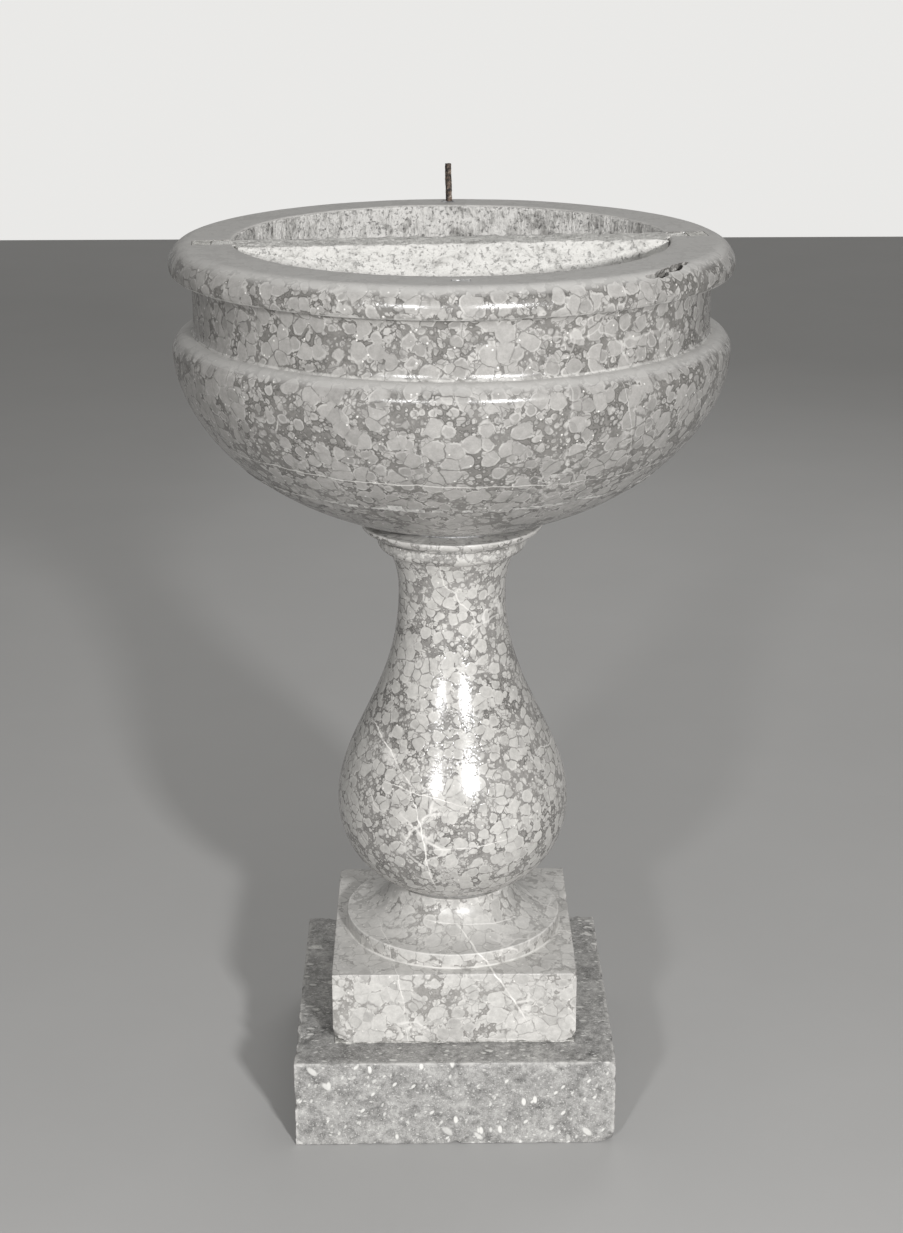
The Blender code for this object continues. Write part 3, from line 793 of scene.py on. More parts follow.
class Workshop:
    """The hand work on a mesh: each step is an operator on a freshly made selection."""

    @staticmethod
    def pick(*pieces: Piece) -> None:
        """Selects only these objects and makes the first the active one."""
        bpy.ops.object.select_all(action="DESELECT")
        for piece in pieces:
            piece.select_set(True)
        bpy.context.view_layer.objects.active = pieces[0]

    @staticmethod
    def name(piece: Piece, name: str) -> Piece:
        """Names an object and its mesh."""
        piece.name = name
        piece.data.name = name
        return piece

    @classmethod
    def fresh(cls, name: str, add: Callable[..., object], **settings: object) -> Piece:
        """Makes a piece with one of Blender's primitives, its place and turn kept in its mesh.

        Args:
            name: Name of the piece.
            add: The operator that adds the primitive.
            settings: What the operator is told.

        Returns:
            The piece.
        """
        bpy.ops.object.select_all(action="DESELECT")
        add(**settings)
        piece = cls.name(bpy.context.active_object, name)
        bpy.ops.object.transform_apply(location=True, rotation=True, scale=True)
        return piece

    @classmethod
    def moved(cls, piece: Piece, place: Iterable[float], turn: float = 0.0) -> None:
        """Turns a piece about the upright axis, moves it, and keeps both in its mesh."""
        piece.rotation_euler = (0, 0, turn)
        piece.location = place
        cls.pick(piece)
        bpy.ops.object.transform_apply(location=True, rotation=True, scale=True)

    @staticmethod
    @contextmanager
    def editing(action: str = "SELECT", kind: str = "VERT") -> Iterator[None]:
        """Opens the active mesh with everything selected, or nothing, and closes it again."""
        bpy.ops.object.mode_set(mode="EDIT")
        bpy.ops.mesh.select_mode(type=kind)
        bpy.ops.mesh.select_all(action=action)
        yield
        bpy.ops.object.mode_set(mode="OBJECT")

    @classmethod
    def turned(cls, name: str, outline: list[Point], segments: int) -> Piece:
        """Turns an outline about the font's axis.

        Args:
            name: Name of the piece.
            outline: Its (radius, height) points. Ends on the axis close the shape.
            segments: Steps of the turn.

        Returns:
            The turned piece.
        """
        piece = cls.fresh(name, bpy.ops.mesh.primitive_circle_add, vertices=3, radius=0.001)
        with cls.editing():
            bpy.ops.mesh.merge(type="CENTER")
            bpy.ops.transform.translate(value=(outline[0][0], 0, outline[0][1]))
            for (radius, height), (next_radius, next_height) in zip(outline, outline[1:]):
                step = (next_radius - radius, 0, next_height - height)
                bpy.ops.mesh.extrude_vertices_move(TRANSFORM_OT_translate={"value": step})
            bpy.ops.mesh.select_all(action="SELECT")
            bpy.ops.mesh.spin(steps=segments, angle=2 * math.pi, center=(0, 0, 0), axis=(0, 0, 1))
            bpy.ops.mesh.select_all(action="SELECT")
            bpy.ops.mesh.remove_doubles(threshold=SPIN_SEAM)
            bpy.ops.mesh.normals_make_consistent(inside=False)
        return piece

    @classmethod
    def block(cls, name: str, low: Vector, high: Vector, cuts: int = 0,
              rounding: float = 0.0) -> Piece:
        """Makes a squared block with an even grid on every face.

        Args:
            name: Name of the piece.
            low: Its lowest corner.
            high: Its highest corner.
            cuts: Cuts along each side.
            rounding: Radius of its eased edges, or 0 to leave them sharp.

        Returns:
            The block.
        """
        middle = (Vector(low) + Vector(high)) / 2
        size = Vector(high) - Vector(low)
        add = bpy.ops.mesh.primitive_cube_add
        piece = cls.fresh(name, add, size=1, location=middle, scale=size)
        if cuts:
            with cls.editing():
                bpy.ops.mesh.subdivide(number_cuts=cuts)
        if rounding:
            cls.modify(piece, "BEVEL", width=rounding, segments=3, angle_limit=math.radians(60))
        return piece

    @classmethod
    def rod(cls, name: str, centre: Point, radius: float, low: float, high: float,
            sides: int = 48) -> Piece:
        """Makes an upright cylinder."""
        place = (centre[0], centre[1], (low + high) / 2)
        add = bpy.ops.mesh.primitive_cylinder_add
        return cls.fresh(name, add, vertices=sides, radius=radius, depth=high - low, location=place)

    @classmethod
    def copied(cls, node: str, name: str, fineness: float) -> Piece:
        """Copies a solid of the frame and gives the copy an even, fine mesh.

        Args:
            node: The frame's node.
            name: Name of the copy.
            fineness: Size of the new faces.

        Returns:
            The copy.
        """
        source = bpy.data.objects[node]
        piece = source.copy()
        piece.data = source.data.copy()
        piece.parent = None
        for mark in list(piece.keys()):
            del piece[mark]
        bpy.context.scene.collection.objects.link(piece)
        cls.pick(piece)
        cls.name(piece, name)
        piece.data.materials.clear()
        with cls.editing():
            bpy.ops.mesh.remove_doubles(threshold=FRAME_SEAM)
            bpy.ops.mesh.tris_convert_to_quads()
        cls.modify(piece, "REMESH", mode="VOXEL", voxel_size=fineness)
        return piece

    @classmethod
    def modify(cls, piece: Piece, kind: str, **settings: object) -> None:
        """Adds a modifier with these settings and applies it."""
        cls.pick(piece)
        bpy.ops.object.modifier_add(type=kind)
        modifier = piece.modifiers[-1]
        for setting, value in settings.items():
            setattr(modifier, setting, value)
        bpy.ops.object.modifier_apply(modifier=modifier.name)

    @classmethod
    def weigh(cls, piece: Piece, name: str, weight: Callable[[Vector], float]) -> str:
        """Makes a vertex group whose weight depends on the place.

        Args:
            piece: The mesh.
            name: Name of the group.
            weight: Weight from 0 to 1 at a place.

        Returns:
            The group's name.
        """
        group = piece.vertex_groups.new(name=name)
        for vertex in piece.data.vertices:
            share = weight(vertex.co)
            if share > 0.01:
                group.add([vertex.index], min(share, 1.0), "REPLACE")
        return group.name

    @classmethod
    def roughen(cls, piece: Piece, *coats: Roughness, group: str = "") -> None:
        """Presses irregularities into a mesh along its normals.

        Args:
            piece: The mesh.
            coats: The irregularities, one after the other.
            group: Vertex group that limits them.
        """
        for coat in coats:
            texture = bpy.data.textures.new("relief", coat.relief.value)
            texture.noise_scale = coat.size
            settings = {"texture": texture, "strength": coat.depth, "mid_level": 0.5}
            if coat.threshold is not None:
                texture.use_clamp = True
                texture.contrast = coat.contrast
                texture.intensity = 0.5 + (0.5 - coat.threshold) * coat.contrast
                settings.update({"strength": -coat.depth, "mid_level": 0.0})
            bpy.ops.object.select_all(action="DESELECT")
            bpy.ops.object.empty_add(location=RELIEF_ORIGIN)
            guide = bpy.context.active_object
            guide.scale = coat.drawn_out
            bpy.context.view_layer.update()
            settings.update({"texture_coords": "OBJECT", "texture_coords_object": guide})
            cls.modify(piece, "DISPLACE", vertex_group=group, **settings)
            bpy.data.objects.remove(guide)
            bpy.data.textures.remove(texture)

    @classmethod
    def push(cls, piece: Piece, place: Triple, move: Triple, reach: float,
             falloff: str = "SMOOTH") -> None:
        """Pushes the vertex nearest a place, and what lies around it with it.

        Args:
            piece: The mesh.
            place: Where it is pushed.
            move: How far.
            reach: Radius of what follows.
            falloff: Shape of the falloff.
        """
        cls.pick(piece)
        target = Vector(place)
        vertices = piece.data.vertices
        nearest = min(vertices, key=lambda vertex: (vertex.co - target).length_squared).index
        with cls.editing("DESELECT"):
            pass
        piece.data.vertices[nearest].select = True
        bpy.ops.object.mode_set(mode="EDIT")
        bpy.ops.transform.translate(
            value=move, use_proportional_edit=True, proportional_edit_falloff=falloff,
            proportional_size=reach,
        )
        bpy.ops.object.mode_set(mode="OBJECT")

    @classmethod
    def joined(cls, name: str, *pieces: Piece) -> Piece:
        """Joins meshes into the first."""
        cls.pick(*pieces)
        bpy.ops.object.join()
        return cls.name(pieces[0], name)

    @classmethod
    def cut(cls, piece: Piece, *cutters: Piece) -> None:
        """Cuts the joined cutters out of a piece and removes them."""
        tool = cls.joined("cutter", *cutters)
        cls.modify(piece, "BOOLEAN", operation="DIFFERENCE", object=tool, solver="EXACT")
        bpy.data.objects.remove(tool)

    @classmethod
    def dress(cls, piece: Piece, *finishes: bpy.types.Material, angle: float = 40.0) -> None:
        """Gives a piece its materials and smooth shading up to that angle."""
        piece.data.materials.clear()
        for finish in finishes:
            piece.data.materials.append(finish)
        cls.pick(piece)
        bpy.ops.object.shade_smooth_by_angle(angle=math.radians(angle))

    @classmethod
    def dress_faces(cls, piece: Piece, slot: int, chosen: Callable[[Vector, Vector], bool]) -> None:
        """Assigns a material slot to the faces chosen by their centre and normal."""
        cls.pick(piece)
        with cls.editing("DESELECT", "FACE"):
            pass
        for polygon in piece.data.polygons:
            polygon.select = chosen(polygon.center, polygon.normal)
        bpy.ops.object.mode_set(mode="EDIT")
        piece.active_material_index = slot
        bpy.ops.object.material_slot_assign()
        bpy.ops.object.mode_set(mode="OBJECT")

    @staticmethod
    def place(piece: Piece, body: Body, nodes: Iterable[str], slot: str) -> None:
        """Hands a finished piece to the frame.

        Args:
            piece: The piece.
            body: The body it rides on.
            nodes: Nodes of the frame it stands for.
            slot: Not used.
        """
        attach(piece, body.value)
        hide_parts(*nodes)
        LOG.info("%s: %d faces", piece.name, len(piece.data.polygons))


def near_edge(low: Vector, high: Vector, width: float) -> Callable[[Vector], float]:
    """Returns a weight that is 1 on a block's edges and 0 from width inwards."""

    def weight(place: Vector) -> float:
        """Returns the weight at that place."""
        gaps = sorted(min(place[k] - low[k], high[k] - place[k]) for k in range(3))
        return 1.0 - max(gaps[1], 0.0) / width

    return weight


def near_rings(rings: Iterable[Point], width: float) -> Callable[[Vector], float]:
    """Returns a weight that is 1 on circles about the axis and 0 from width away."""
    circles = list(rings)

    def weight(place: Vector) -> float:
        """Returns the weight at that place."""
        here = (math.hypot(place.x, place.y), place.z)
        return 1.0 - min(math.dist(here, circle) for circle in circles) / width

    return weight


# ---------------------------------------------------------------- the font's parts

@dataclass
class Step:
    """The square step, its knocked edges, and the mortar it carries."""

    cuts: int = 84
    bed_cuts: int = 60
    edge_rounding: float = 0.0022
    knocks: tuple[tuple[Triple, Triple, float], ...] = (
        ((-0.2045, -0.135, 0.118), (0.008, 0.0, -0.010), 0.026),
        ((-0.2045, -0.095, 0.118), (0.005, 0.0, -0.004), 0.018),
        ((-0.2045, -0.170, 0.118), (0.002, 0.0, -0.003), 0.022),
        ((0.2045, 0.110, 0.118), (-0.005, 0.0, -0.007), 0.020),
        ((0.2045, 0.020, 0.118), (-0.003, 0.0, -0.004), 0.012),
        ((0.2045, -0.2045, 0.118), (-0.003, 0.003, -0.003), 0.010),
        ((0.120, 0.2045, 0.118), (0.0, -0.006, -0.005), 0.020),
        ((-0.110, 0.2045, 0.0), (0.0, -0.005, 0.006), 0.018),
        ((0.2045, -0.2045, 0.0), (-0.006, 0.006, 0.004), 0.020),
    )

    def build(self) -> None:
        """Builds and dresses the step and its bed."""
        low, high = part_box("step_block")
        step = Workshop.block("step", low, high, self.cuts, self.edge_rounding)
        edges = Workshop.weigh(step, "edges", near_edge(low, high, 0.007))
        chips = chipped(0.022, 0.0080, 0.61, 3.0)
        nicks = chipped(0.006, 0.0022, 0.55, 3.0)
        Workshop.roughen(step, chips, nicks, group=edges)
        Workshop.roughen(step, uneven(0.055, 0.0009), grainy(0.006, 0.0003))
        for place, move, reach in self.knocks:
            Workshop.push(step, place, move, reach, "SHARP")
        Workshop.dress(step, FossilLimestone("step_stone", half_side=high.x, top=high.z).paint())
        Workshop.place(step, Body.FONT, ["step_block"], "fossil_limestone")
        self.build_bed()

    def build_bed(self) -> None:
        """Builds the mortar that squeezes out between step and plinth."""
        low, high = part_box("step_bed_mortar")
        spread = Vector((0.004, 0.004, 0.0))
        bed = Workshop.block("step_bed", low - spread, high + spread, self.bed_cuts)
        ragged = chipped(0.012, 0.0045, 0.40, 1.5)
        sides = Workshop.weigh(bed, "sides", near_edge(low - spread, high + spread, 0.004))
        Workshop.roughen(bed, ragged, group=sides)
        Workshop.dress(bed, Mortar("bed_mortar").paint())
        Workshop.place(bed, Body.FONT, ["step_bed_mortar"], "lime_mortar")


@dataclass
class Plinth:
    """The square plinth and the round foot that grows out of it."""

    cuts: int = 76
    segments: int = 220
    plinth_top: float = 0.218
    band_radius: float = 0.141
    band_top: float = 0.238
    arris: float = 0.0012
    neck_radius: float = 0.078
    finish: NodularMarble = NodularMarble(
        "plinth_stone", nodule=(0.378, 0.368, 0.351), pale_nodule=(0.500, 0.488, 0.466),
        matrix=(0.276, 0.267, 0.252), seam=(0.190, 0.182, 0.171), nodule_scale=52.0, packing=0.06,
        polish=0.27, dull_and_lit_top=0.25,
        veins=(
            Vein((0.05, -0.156, 0.218), (0.81, 0.27, 0.52), 0.0016, 0.016, 0.9, (0.07, 0.12, 0.12)),
            Vein((-0.069, -0.156, 0.2), (1.0, 0.2, 0.12), 0.0010, 0.020, 0.6, (0.06, 0.20, 0.11)),
            Vein((0.03, -0.12, 0.258), (0.05, 0.1, 1.0), 0.0008, 0.008, 0.6, (0.09, 0.10, 0.05)),
        ),
        clouds=(
            ((0.090, -0.156, 0.165), (0.022, 0.030, 0.040)),
            ((-0.055, -0.156, 0.140), (0.035, 0.030, 0.022)),
            ((0.080, -0.115, 0.238), (0.050, 0.050, 0.014)),
        ),
        arrises=(Arris(0.1415, 0.2185, 0.0024, 0.95), Arris(0.1405, 0.2378, 0.0020, 0.6)),
    )

    def outline(self, top: float) -> list[Point]:
        """Draws the foot: band, its eased arris, the hollow flare and the seat."""
        flare_radii = (self.band_radius - self.neck_radius, top - self.band_top)
        flare = arc((self.band_radius, top), flare_radii, 268, 181, 44)
        start = self.plinth_top - 0.006
        foot = [(0.0, start), (self.band_radius, start)]
        eased = self.band_top - self.arris
        band = line((self.band_radius, start), (self.band_radius, eased), 0.002)
        centre = (self.band_radius - self.arris, eased)
        ease = arc(centre, (self.arris, self.arris), 0, 75, 3)[1:]
        seat = [(self.neck_radius, top), (0.0, top)]
        return foot + band + ease + flare + seat

    def build(self) -> None:
        """Builds and dresses the plinth with its foot."""
        low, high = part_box("plinth_block")
        corner = Vector((high.x, high.y, self.plinth_top))
        plinth = Workshop.block("plinth", low, corner, self.cuts, 0.0016)
        edges = Workshop.weigh(plinth, "edges", near_edge(low, corner, 0.006))
        nicks = chipped(0.012, 0.0050, 0.62, 3.0)
        Workshop.roughen(plinth, nicks, group=edges)
        lower = Workshop.weigh(plinth, "lower", lambda place: 1.0 - (place.z - low.z) / 0.008)
        ragged = chipped(0.026, 0.0040, 0.52, 2.5)
        Workshop.roughen(plinth, ragged, group=lower)
        Workshop.roughen(plinth, uneven(0.080, 0.0008))
        for place, move, reach in self.knocks(low, corner):
            Workshop.push(plinth, place, move, reach, "SMOOTH")
        foot = Workshop.turned("foot", self.outline(high.z), self.segments)
        rims = Workshop.weigh(foot, "rims", near_rings([(self.band_radius, self.band_top)], 0.005))
        Workshop.roughen(foot, chipped(0.008, 0.0022, 0.60, 3.0), group=rims)
        Workshop.roughen(foot, uneven(0.070, 0.0008))
        plinth = Workshop.joined("plinth", plinth, foot)
        Workshop.dress(plinth, self.finish.paint())
        Workshop.place(plinth, Body.FONT, ["plinth_block"], "nodular_marble")

    @staticmethod
    def knocks(low: Vector, high: Vector) -> list[tuple[Triple, Triple, float]]:
        """Returns the plinth's larger knocks: place, push and reach."""
        return [
            ((low.x, low.y, low.z), (0.005, 0.004, 0.004), 0.022),
            ((high.x, low.y, low.z), (-0.004, 0.003, 0.003), 0.016),
            ((high.x, low.y, high.z), (-0.002, 0.002, -0.001), 0.008),
            ((high.x, 0.06, high.z), (-0.003, 0.0, -0.002), 0.012),
            ((low.x, 0.09, low.z), (0.004, 0.0, 0.003), 0.016),
            ((0.05, high.y, high.z), (0.0, -0.003, -0.002), 0.012),
        ]


@dataclass
class Baluster:
    """The stem: belly, neck, ring and spreading capital, turned from one stone."""

    segments: int = 288
    seat_radius: float = 0.072
    belly_centre: float = 0.052
    belly_radius: float = 0.150
    belly_height: float = 0.400
    belly_depth: float = 0.114
    neck_radius: float = 0.068
    neck_height: float = 0.685
    root_radius: float = 0.081
    ring_bottom: float = 0.739
    ring_radius: float = 0.0944
    ring_top: float = 0.7585
    quirk: tuple[Point, ...] = ((0.0035, 0.0005), (0.0042, 0.002))
    capital_foot: float = 0.7625
    capital_foot_radius: float = 0.093
    capital_radius: float = 0.115
    finish: NodularMarble = NodularMarble(
        "baluster_stone", nodule_scale=62.0, polish=0.085,
        nodule=(0.362, 0.352, 0.335), pale_nodule=(0.458, 0.446, 0.425),
        matrix=(0.228, 0.220, 0.209),
        veins=(
            Vein((-0.08, -0.1, 0.5), (0.8, 0.1, 0.6), 0.0013, 0.030, 1.0, (0.045, 0.09, 0.07)),
            Vein((-0.03, -0.14, 0.455), (0.25, 0.1, 1.0), 0.0009, 0.022, 0.8, (0.08, 0.08, 0.03)),
            Vein((-0.04, -0.14, 0.4), (1.0, 0.0, 0.22), 0.0012, 0.026, 0.9, (0.04, 0.09, 0.1)),
            Vein((0.02, -0.145, 0.392), (-0.12, 0.0, 1.0), 0.0008, 0.018, 0.7, (0.06, 0.08, 0.03)),
            Vein((0.0, 0.10, 0.45), (0.7, 0.6, 0.35), 0.0012, 0.030, 0.8, (0.16, 0.09, 0.12)),
        ),
        clouds=(
            ((-0.035, -0.140, 0.405), (0.045, 0.060, 0.085)),
            ((-0.080, -0.105, 0.492), (0.020, 0.040, 0.022)),
            ((0.090, 0.100, 0.430), (0.050, 0.050, 0.080)),
        ),
        arrises=(Arris(0.0944, 0.752, 0.006, 0.35), Arris(0.115, 0.776, 0.003, 0.5)),
    )

    def outline(self, low: float, high: float) -> list[Point]:
        """Draws the stem from its bed up to the capital's top."""
        belly = (self.belly_radius - self.belly_centre, self.belly_depth)
        lower = arc((self.belly_centre, self.belly_height), belly, -77, 0, 48)
        upper = bezier((
            (self.belly_radius, self.belly_height), (self.belly_radius, self.belly_height + 0.090),
            (self.neck_radius, self.neck_height - 0.134), (self.neck_radius, self.neck_height),
        ), 80)
        spread = bezier((
            (self.neck_radius, self.neck_height), (self.neck_radius, self.neck_height + 0.025),
            (self.root_radius - 0.007, self.ring_bottom - 0.011),
            (self.root_radius, self.ring_bottom),
        ), 20)
        swell = (self.ring_radius - self.root_radius, 0.013)
        ring = arc((self.root_radius, self.ring_bottom + 0.013), swell, -80, 0, 10)
        lip = arc((self.ring_radius - 0.0012, self.ring_top - 0.0012), (0.0012, 0.0012), 0, 90, 4)
        quirk = [(self.ring_radius - inset, self.ring_top + rise) for inset, rise in self.quirk]
        swell = (self.capital_radius - self.capital_foot_radius, high - self.capital_foot - 0.0015)
        capital = arc((self.capital_foot_radius, high - 0.0015), swell, -86, 0, 16)
        edge = arc((self.capital_radius - 0.0015, high - 0.0015), (0.0015, 0.0015), 20, 90, 4)
        stem = [(0.0, low), (self.seat_radius, low)] + lower + upper[1:] + spread[1:]
        return stem + ring + lip + quirk + capital + edge + [(0.0, high)]

    def build(self) -> None:
        """Builds and dresses the stem."""
        low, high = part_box("baluster")
        stem = Workshop.turned("stem", self.outline(low.z, high.z), self.segments)
        Workshop.roughen(stem, uneven(0.090, 0.0010))
        rings = [(self.ring_radius, self.ring_top), (self.ring_radius, self.ring_bottom + 0.013),
                 (self.capital_radius, high.z)]
        rims = Workshop.weigh(stem, "rims", near_rings(rings, 0.004))
        Workshop.roughen(stem, chipped(0.008, 0.0018, 0.60, 3.0), group=rims)
        Workshop.dress(stem, self.finish.paint())
        Workshop.place(stem, Body.FONT, ["baluster"], "nodular_marble")


@dataclass
class Divider:
    """The hewn slab across the basin, with its ears and the mortar behind them."""

    turn: float = math.radians(5)
    ear_offset: float = -0.0075
    ear_width: float = 0.033
    ear_root: float = 0.240
    slot_end: float = 0.311
    ear_bottom: float = 1.102
    clearance: float = 0.0002
    finish: HewnMarble = HewnMarble(
        "divider_stone", pale=(0.60, 0.59, 0.565), dark=(0.33, 0.322, 0.306), grime=0.0,
        strokes=(60.0, 60.0, 110.0), pit_shade=0.08, relief=0.0040,
    )

    def slots(self, rim: float) -> list[Piece]:
        """Makes the cutters of the two slots in the rim, up through that height."""
        cutters = []
        for index, side in enumerate((-1, 1)):
            near, far = sorted((side * self.ear_root, side * self.slot_end))
            half = self.ear_width / 2 + self.clearance
            low = Vector((near, -half, self.ear_bottom - self.clearance))
            cutter = Workshop.block(f"slot_{index}", low, Vector((far, half, rim + 0.01)))
            Workshop.moved(cutter, (0, self.ear_offset, 0), self.turn)
            cutters.append(cutter)
        return cutters

    def build(self) -> None:
        """Builds the slab and the mortar in both slots."""
        slab = Workshop.copied("basin_divider", "divider", 0.0022)
        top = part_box("basin_divider")[1].z
        Workshop.roughen(
            slab,
            uneven(0.030, 0.0030),
            uneven(0.009, 0.0028, (1.5, 1.0, 0.8)),
        )
        arris = Workshop.weigh(slab, "arris", lambda place: 1.0 - (top - place.z) / 0.012)
        Workshop.roughen(slab, chipped(0.014, 0.0030, 0.52, 2.0), group=arris)
        Workshop.dress(slab, self.finish.paint(), angle=60)
        Workshop.place(slab, Body.FONT, ["basin_divider"], "hewn_marble")
        for side in ("left", "right"):
            node = f"ear_mortar_{side}"
            patch = Workshop.copied(node, f"slot_filling_{side}", 0.0008)
            Workshop.roughen(patch, uneven(0.009, 0.0007), grainy(0.003, 0.0004))
            mortar = Mortar(f"filling_{side}", pale=(0.58, 0.57, 0.54), dark=(0.36, 0.35, 0.33))
            Workshop.dress(patch, mortar.paint())
            Workshop.place(patch, Body.FONT, [node], "lime_mortar")


@dataclass
class Bowl:
    """The bowl: polished outside, hewn inside, with slots and sockets in its rim."""

    divider: Divider
    segments: int = 388
    seat_radius: float = 0.085
    widest_radius: float = 0.3393
    widest_height: float = 1.003
    curve_depth: float = 0.232
    curve_power: float = 1.89
    shoulder_top: float = 1.0237
    band_radius: float = 0.3133
    band_top: float = 1.080
    rim_underside: float = 1.0946
    rim_edge_radius: float = 0.338
    rim_widest_height: float = 1.106
    rim_flat_radius: float = 0.316
    basin_radius: float = 0.2627
    wall_radius: float = 0.260
    wall_foot: float = 1.050
    floor_radius: float = 0.090
    floor_height: float = 0.865
    crack: tuple[tuple[Triple, Triple, float], ...] = (
        ((0.221, -0.244, 1.1225), (0.0140, 0.0030, 0.0120), 0.72),
        ((0.231, -0.232, 1.1240), (0.0130, 0.0056, 0.0125), 1.02),
        ((0.241, -0.218, 1.1240), (0.0150, 0.0046, 0.0125), 0.80),
        ((0.250, -0.204, 1.1245), (0.0130, 0.0066, 0.0120), 1.12),
        ((0.258, -0.190, 1.1255), (0.0130, 0.0036, 0.0110), 0.95),
    )
    finish: NodularMarble = NodularMarble(
        "bowl_stone", nodule_scale=50.0, polish=0.16, dull_and_lit_top=0.75, hairs=0.2,
        veins=(
            Vein((0.0, -0.28, 0.900), (0.03, 0.0, 1.0), 0.0010, 0.014, 0.55, (0.40, 0.25, 0.05)),
            Vein((0.10, 0.28, 0.930), (0.35, 0.2, 1.0), 0.0012, 0.020, 0.6, (0.20, 0.20, 0.15)),
            Vein((0.19, -0.26, 0.97), (1.0, 0.4, 0.3), 0.0007, 0.016, 0.28, (0.06, 0.10, 0.10)),
        ),
        clouds=(((-0.200, -0.245, 0.965), (0.012, 0.05, 0.016)),),
        arrises=(
            Arris(0.3138, 1.0242, 0.0019, 1.0), Arris(0.3160, 1.0238, 0.0036, 0.35),
            Arris(0.338, 1.0950, 0.0025, 0.35), Arris(0.2640, 1.129, 0.003, 0.4),
        ),
    )
    inside_finish: HewnMarble = HewnMarble(
        "basin_stone", pale=(0.64, 0.627, 0.604), dark=(0.25, 0.243, 0.231), grime=0.25,
    )

    def outline(self, seat: float, rim: float, radius: float) -> list[Point]:
        """Draws the bowl in section.

        Args:
            seat: Height of its seat.
            rim: Height of its rim.
            radius: Its greatest radius.

        Returns:
            The section's points, from the axis below round to the axis above.
        """
        share = 2 / self.curve_power
        seat_angle = math.acos((self.seat_radius / self.widest_radius) ** (1 / share))
        curve = []
        for i in range(1, 65):
            angle = seat_angle * (1 - i / 64)
            height = self.widest_height - self.curve_depth * math.sin(angle) ** share
            curve.append((self.widest_radius * math.cos(angle) ** share, height))
        shoulder_height = self.shoulder_top - self.widest_height
        shoulder_radii = (self.widest_radius - self.band_radius, shoulder_height)
        shoulder = arc((self.band_radius, self.widest_height), shoulder_radii, 0, 84, 18)[1:]
        foot = (self.band_radius, self.shoulder_top + 0.001)
        band = line(foot, (self.band_radius, self.band_top), 0.004)
        cove = self.rim_underside - self.band_top
        under = arc((self.band_radius + cove, self.band_top), (cove, cove), 180, 90, 8)[1:]
        edge_start = self.rim_edge_radius - 0.002
        edge_radii = (radius - edge_start, self.rim_widest_height - self.rim_underside)
        edge = arc((edge_start, self.rim_widest_height), edge_radii, -90, 0, 8)
        roll_radii = (radius - self.rim_flat_radius, rim - self.rim_widest_height)
        roll = arc((self.rim_flat_radius, self.rim_widest_height), roll_radii, 0, 90, 24)[1:]
        ease = 0.004
        flat = line((self.rim_flat_radius, rim), (self.basin_radius + ease, rim), 0.006)
        lip = arc((self.basin_radius + ease, rim - ease), (ease, ease), 90, 180, 5)[1:]
        wall = line((self.basin_radius, rim - ease), (self.wall_radius, self.wall_foot), 0.0042)
        basin_radii = (self.wall_radius - self.floor_radius, self.wall_foot - self.floor_height)
        basin = arc((self.floor_radius, self.wall_foot), basin_radii, 0, -90, 44)[1:]
        floor = line((self.floor_radius, self.floor_height), (0.006, self.floor_height), 0.006)
        outside = [(0.0, seat), (self.seat_radius, seat)] + curve + shoulder + band + under
        inside = lip + wall + basin + floor + [(0.0, self.floor_height)]
        return outside + edge + roll + flat + inside

    def hollow(self) -> Piece:
        """Makes the rough cutter of the natural hollow in the rim."""
        rocks = []
        for index, (place, size, turn) in enumerate(self.crack):
            add = bpy.ops.mesh.primitive_ico_sphere_add
            rock = Workshop.fresh(f"hollow_{index}", add, subdivisions=3, radius=1.0)
            rock.scale = size
            Workshop.moved(rock, place, turn)
            rocks.append(rock)
        hollow = Workshop.joined("hollow", *rocks)
        Workshop.roughen(hollow, uneven(0.006, 0.0040))
        Workshop.modify(hollow, "REMESH", mode="VOXEL", voxel_size=0.0008)
        return hollow

    def sockets(self, rim: float) -> list[Piece]:
        """Makes the cutters of the pivot's, the latch's and the drain's sockets."""
        gap = self.divider.clearance
        pin_low, pin_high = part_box("pivot_pin_lead")
        middle = (pin_low + pin_high) / 2
        radius = (pin_high.x - pin_low.x) / 2 + gap
        pin = Workshop.rod("pin_socket", middle.xy, radius, pin_low.z, rim + 0.01)
        grow = Vector((gap, gap, gap))
        latch_low, latch_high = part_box("latch_socket_lead")
        above = latch_high + grow + Vector((0, 0, 0.01))
        latch = Workshop.block("latch_socket", latch_low - grow, above)
        drain_low, drain_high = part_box("drain_ferrule")
        middle = (drain_low + drain_high) / 2
        radius = (drain_high.x - drain_low.x) / 2 + gap
        top = drain_high.z
        drain = Workshop.rod("drain_socket", middle.xy, radius, top - 0.0045, top + 0.02)
        return [pin, latch, drain]

    def build(self) -> None:
        """Builds and dresses the bowl."""
        low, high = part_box("bowl")
        bowl = Workshop.turned("bowl_shell", self.outline(low.z, high.z, high.x), self.segments)
        Workshop.roughen(bowl, uneven(0.110, 0.0012))
        inner = Workshop.weigh(bowl, "inner", self.inside_weight(high.z))
        Workshop.roughen(
            bowl,
            uneven(0.028, 0.0034),
            uneven(0.0065, 0.0030, (1.0, 1.0, 4.5)),
            group=inner,
        )
        shoulder = (self.band_radius, self.shoulder_top)
        circles = near_rings([shoulder, (self.rim_edge_radius, self.rim_underside)], 0.007)
        rims = Workshop.weigh(bowl, "rims", circles)
        Workshop.roughen(bowl, chipped(0.010, 0.0022, 0.56, 2.5), group=rims)
        Workshop.cut(bowl, *self.divider.slots(high.z), *self.sockets(high.z), self.hollow())
        Workshop.dress(bowl, self.finish.paint(), self.inside_finish.paint())
        Workshop.dress_faces(bowl, 1, self.is_inside(high.z))
        Workshop.place(bowl, Body.FONT, ["bowl"], "nodular_marble")

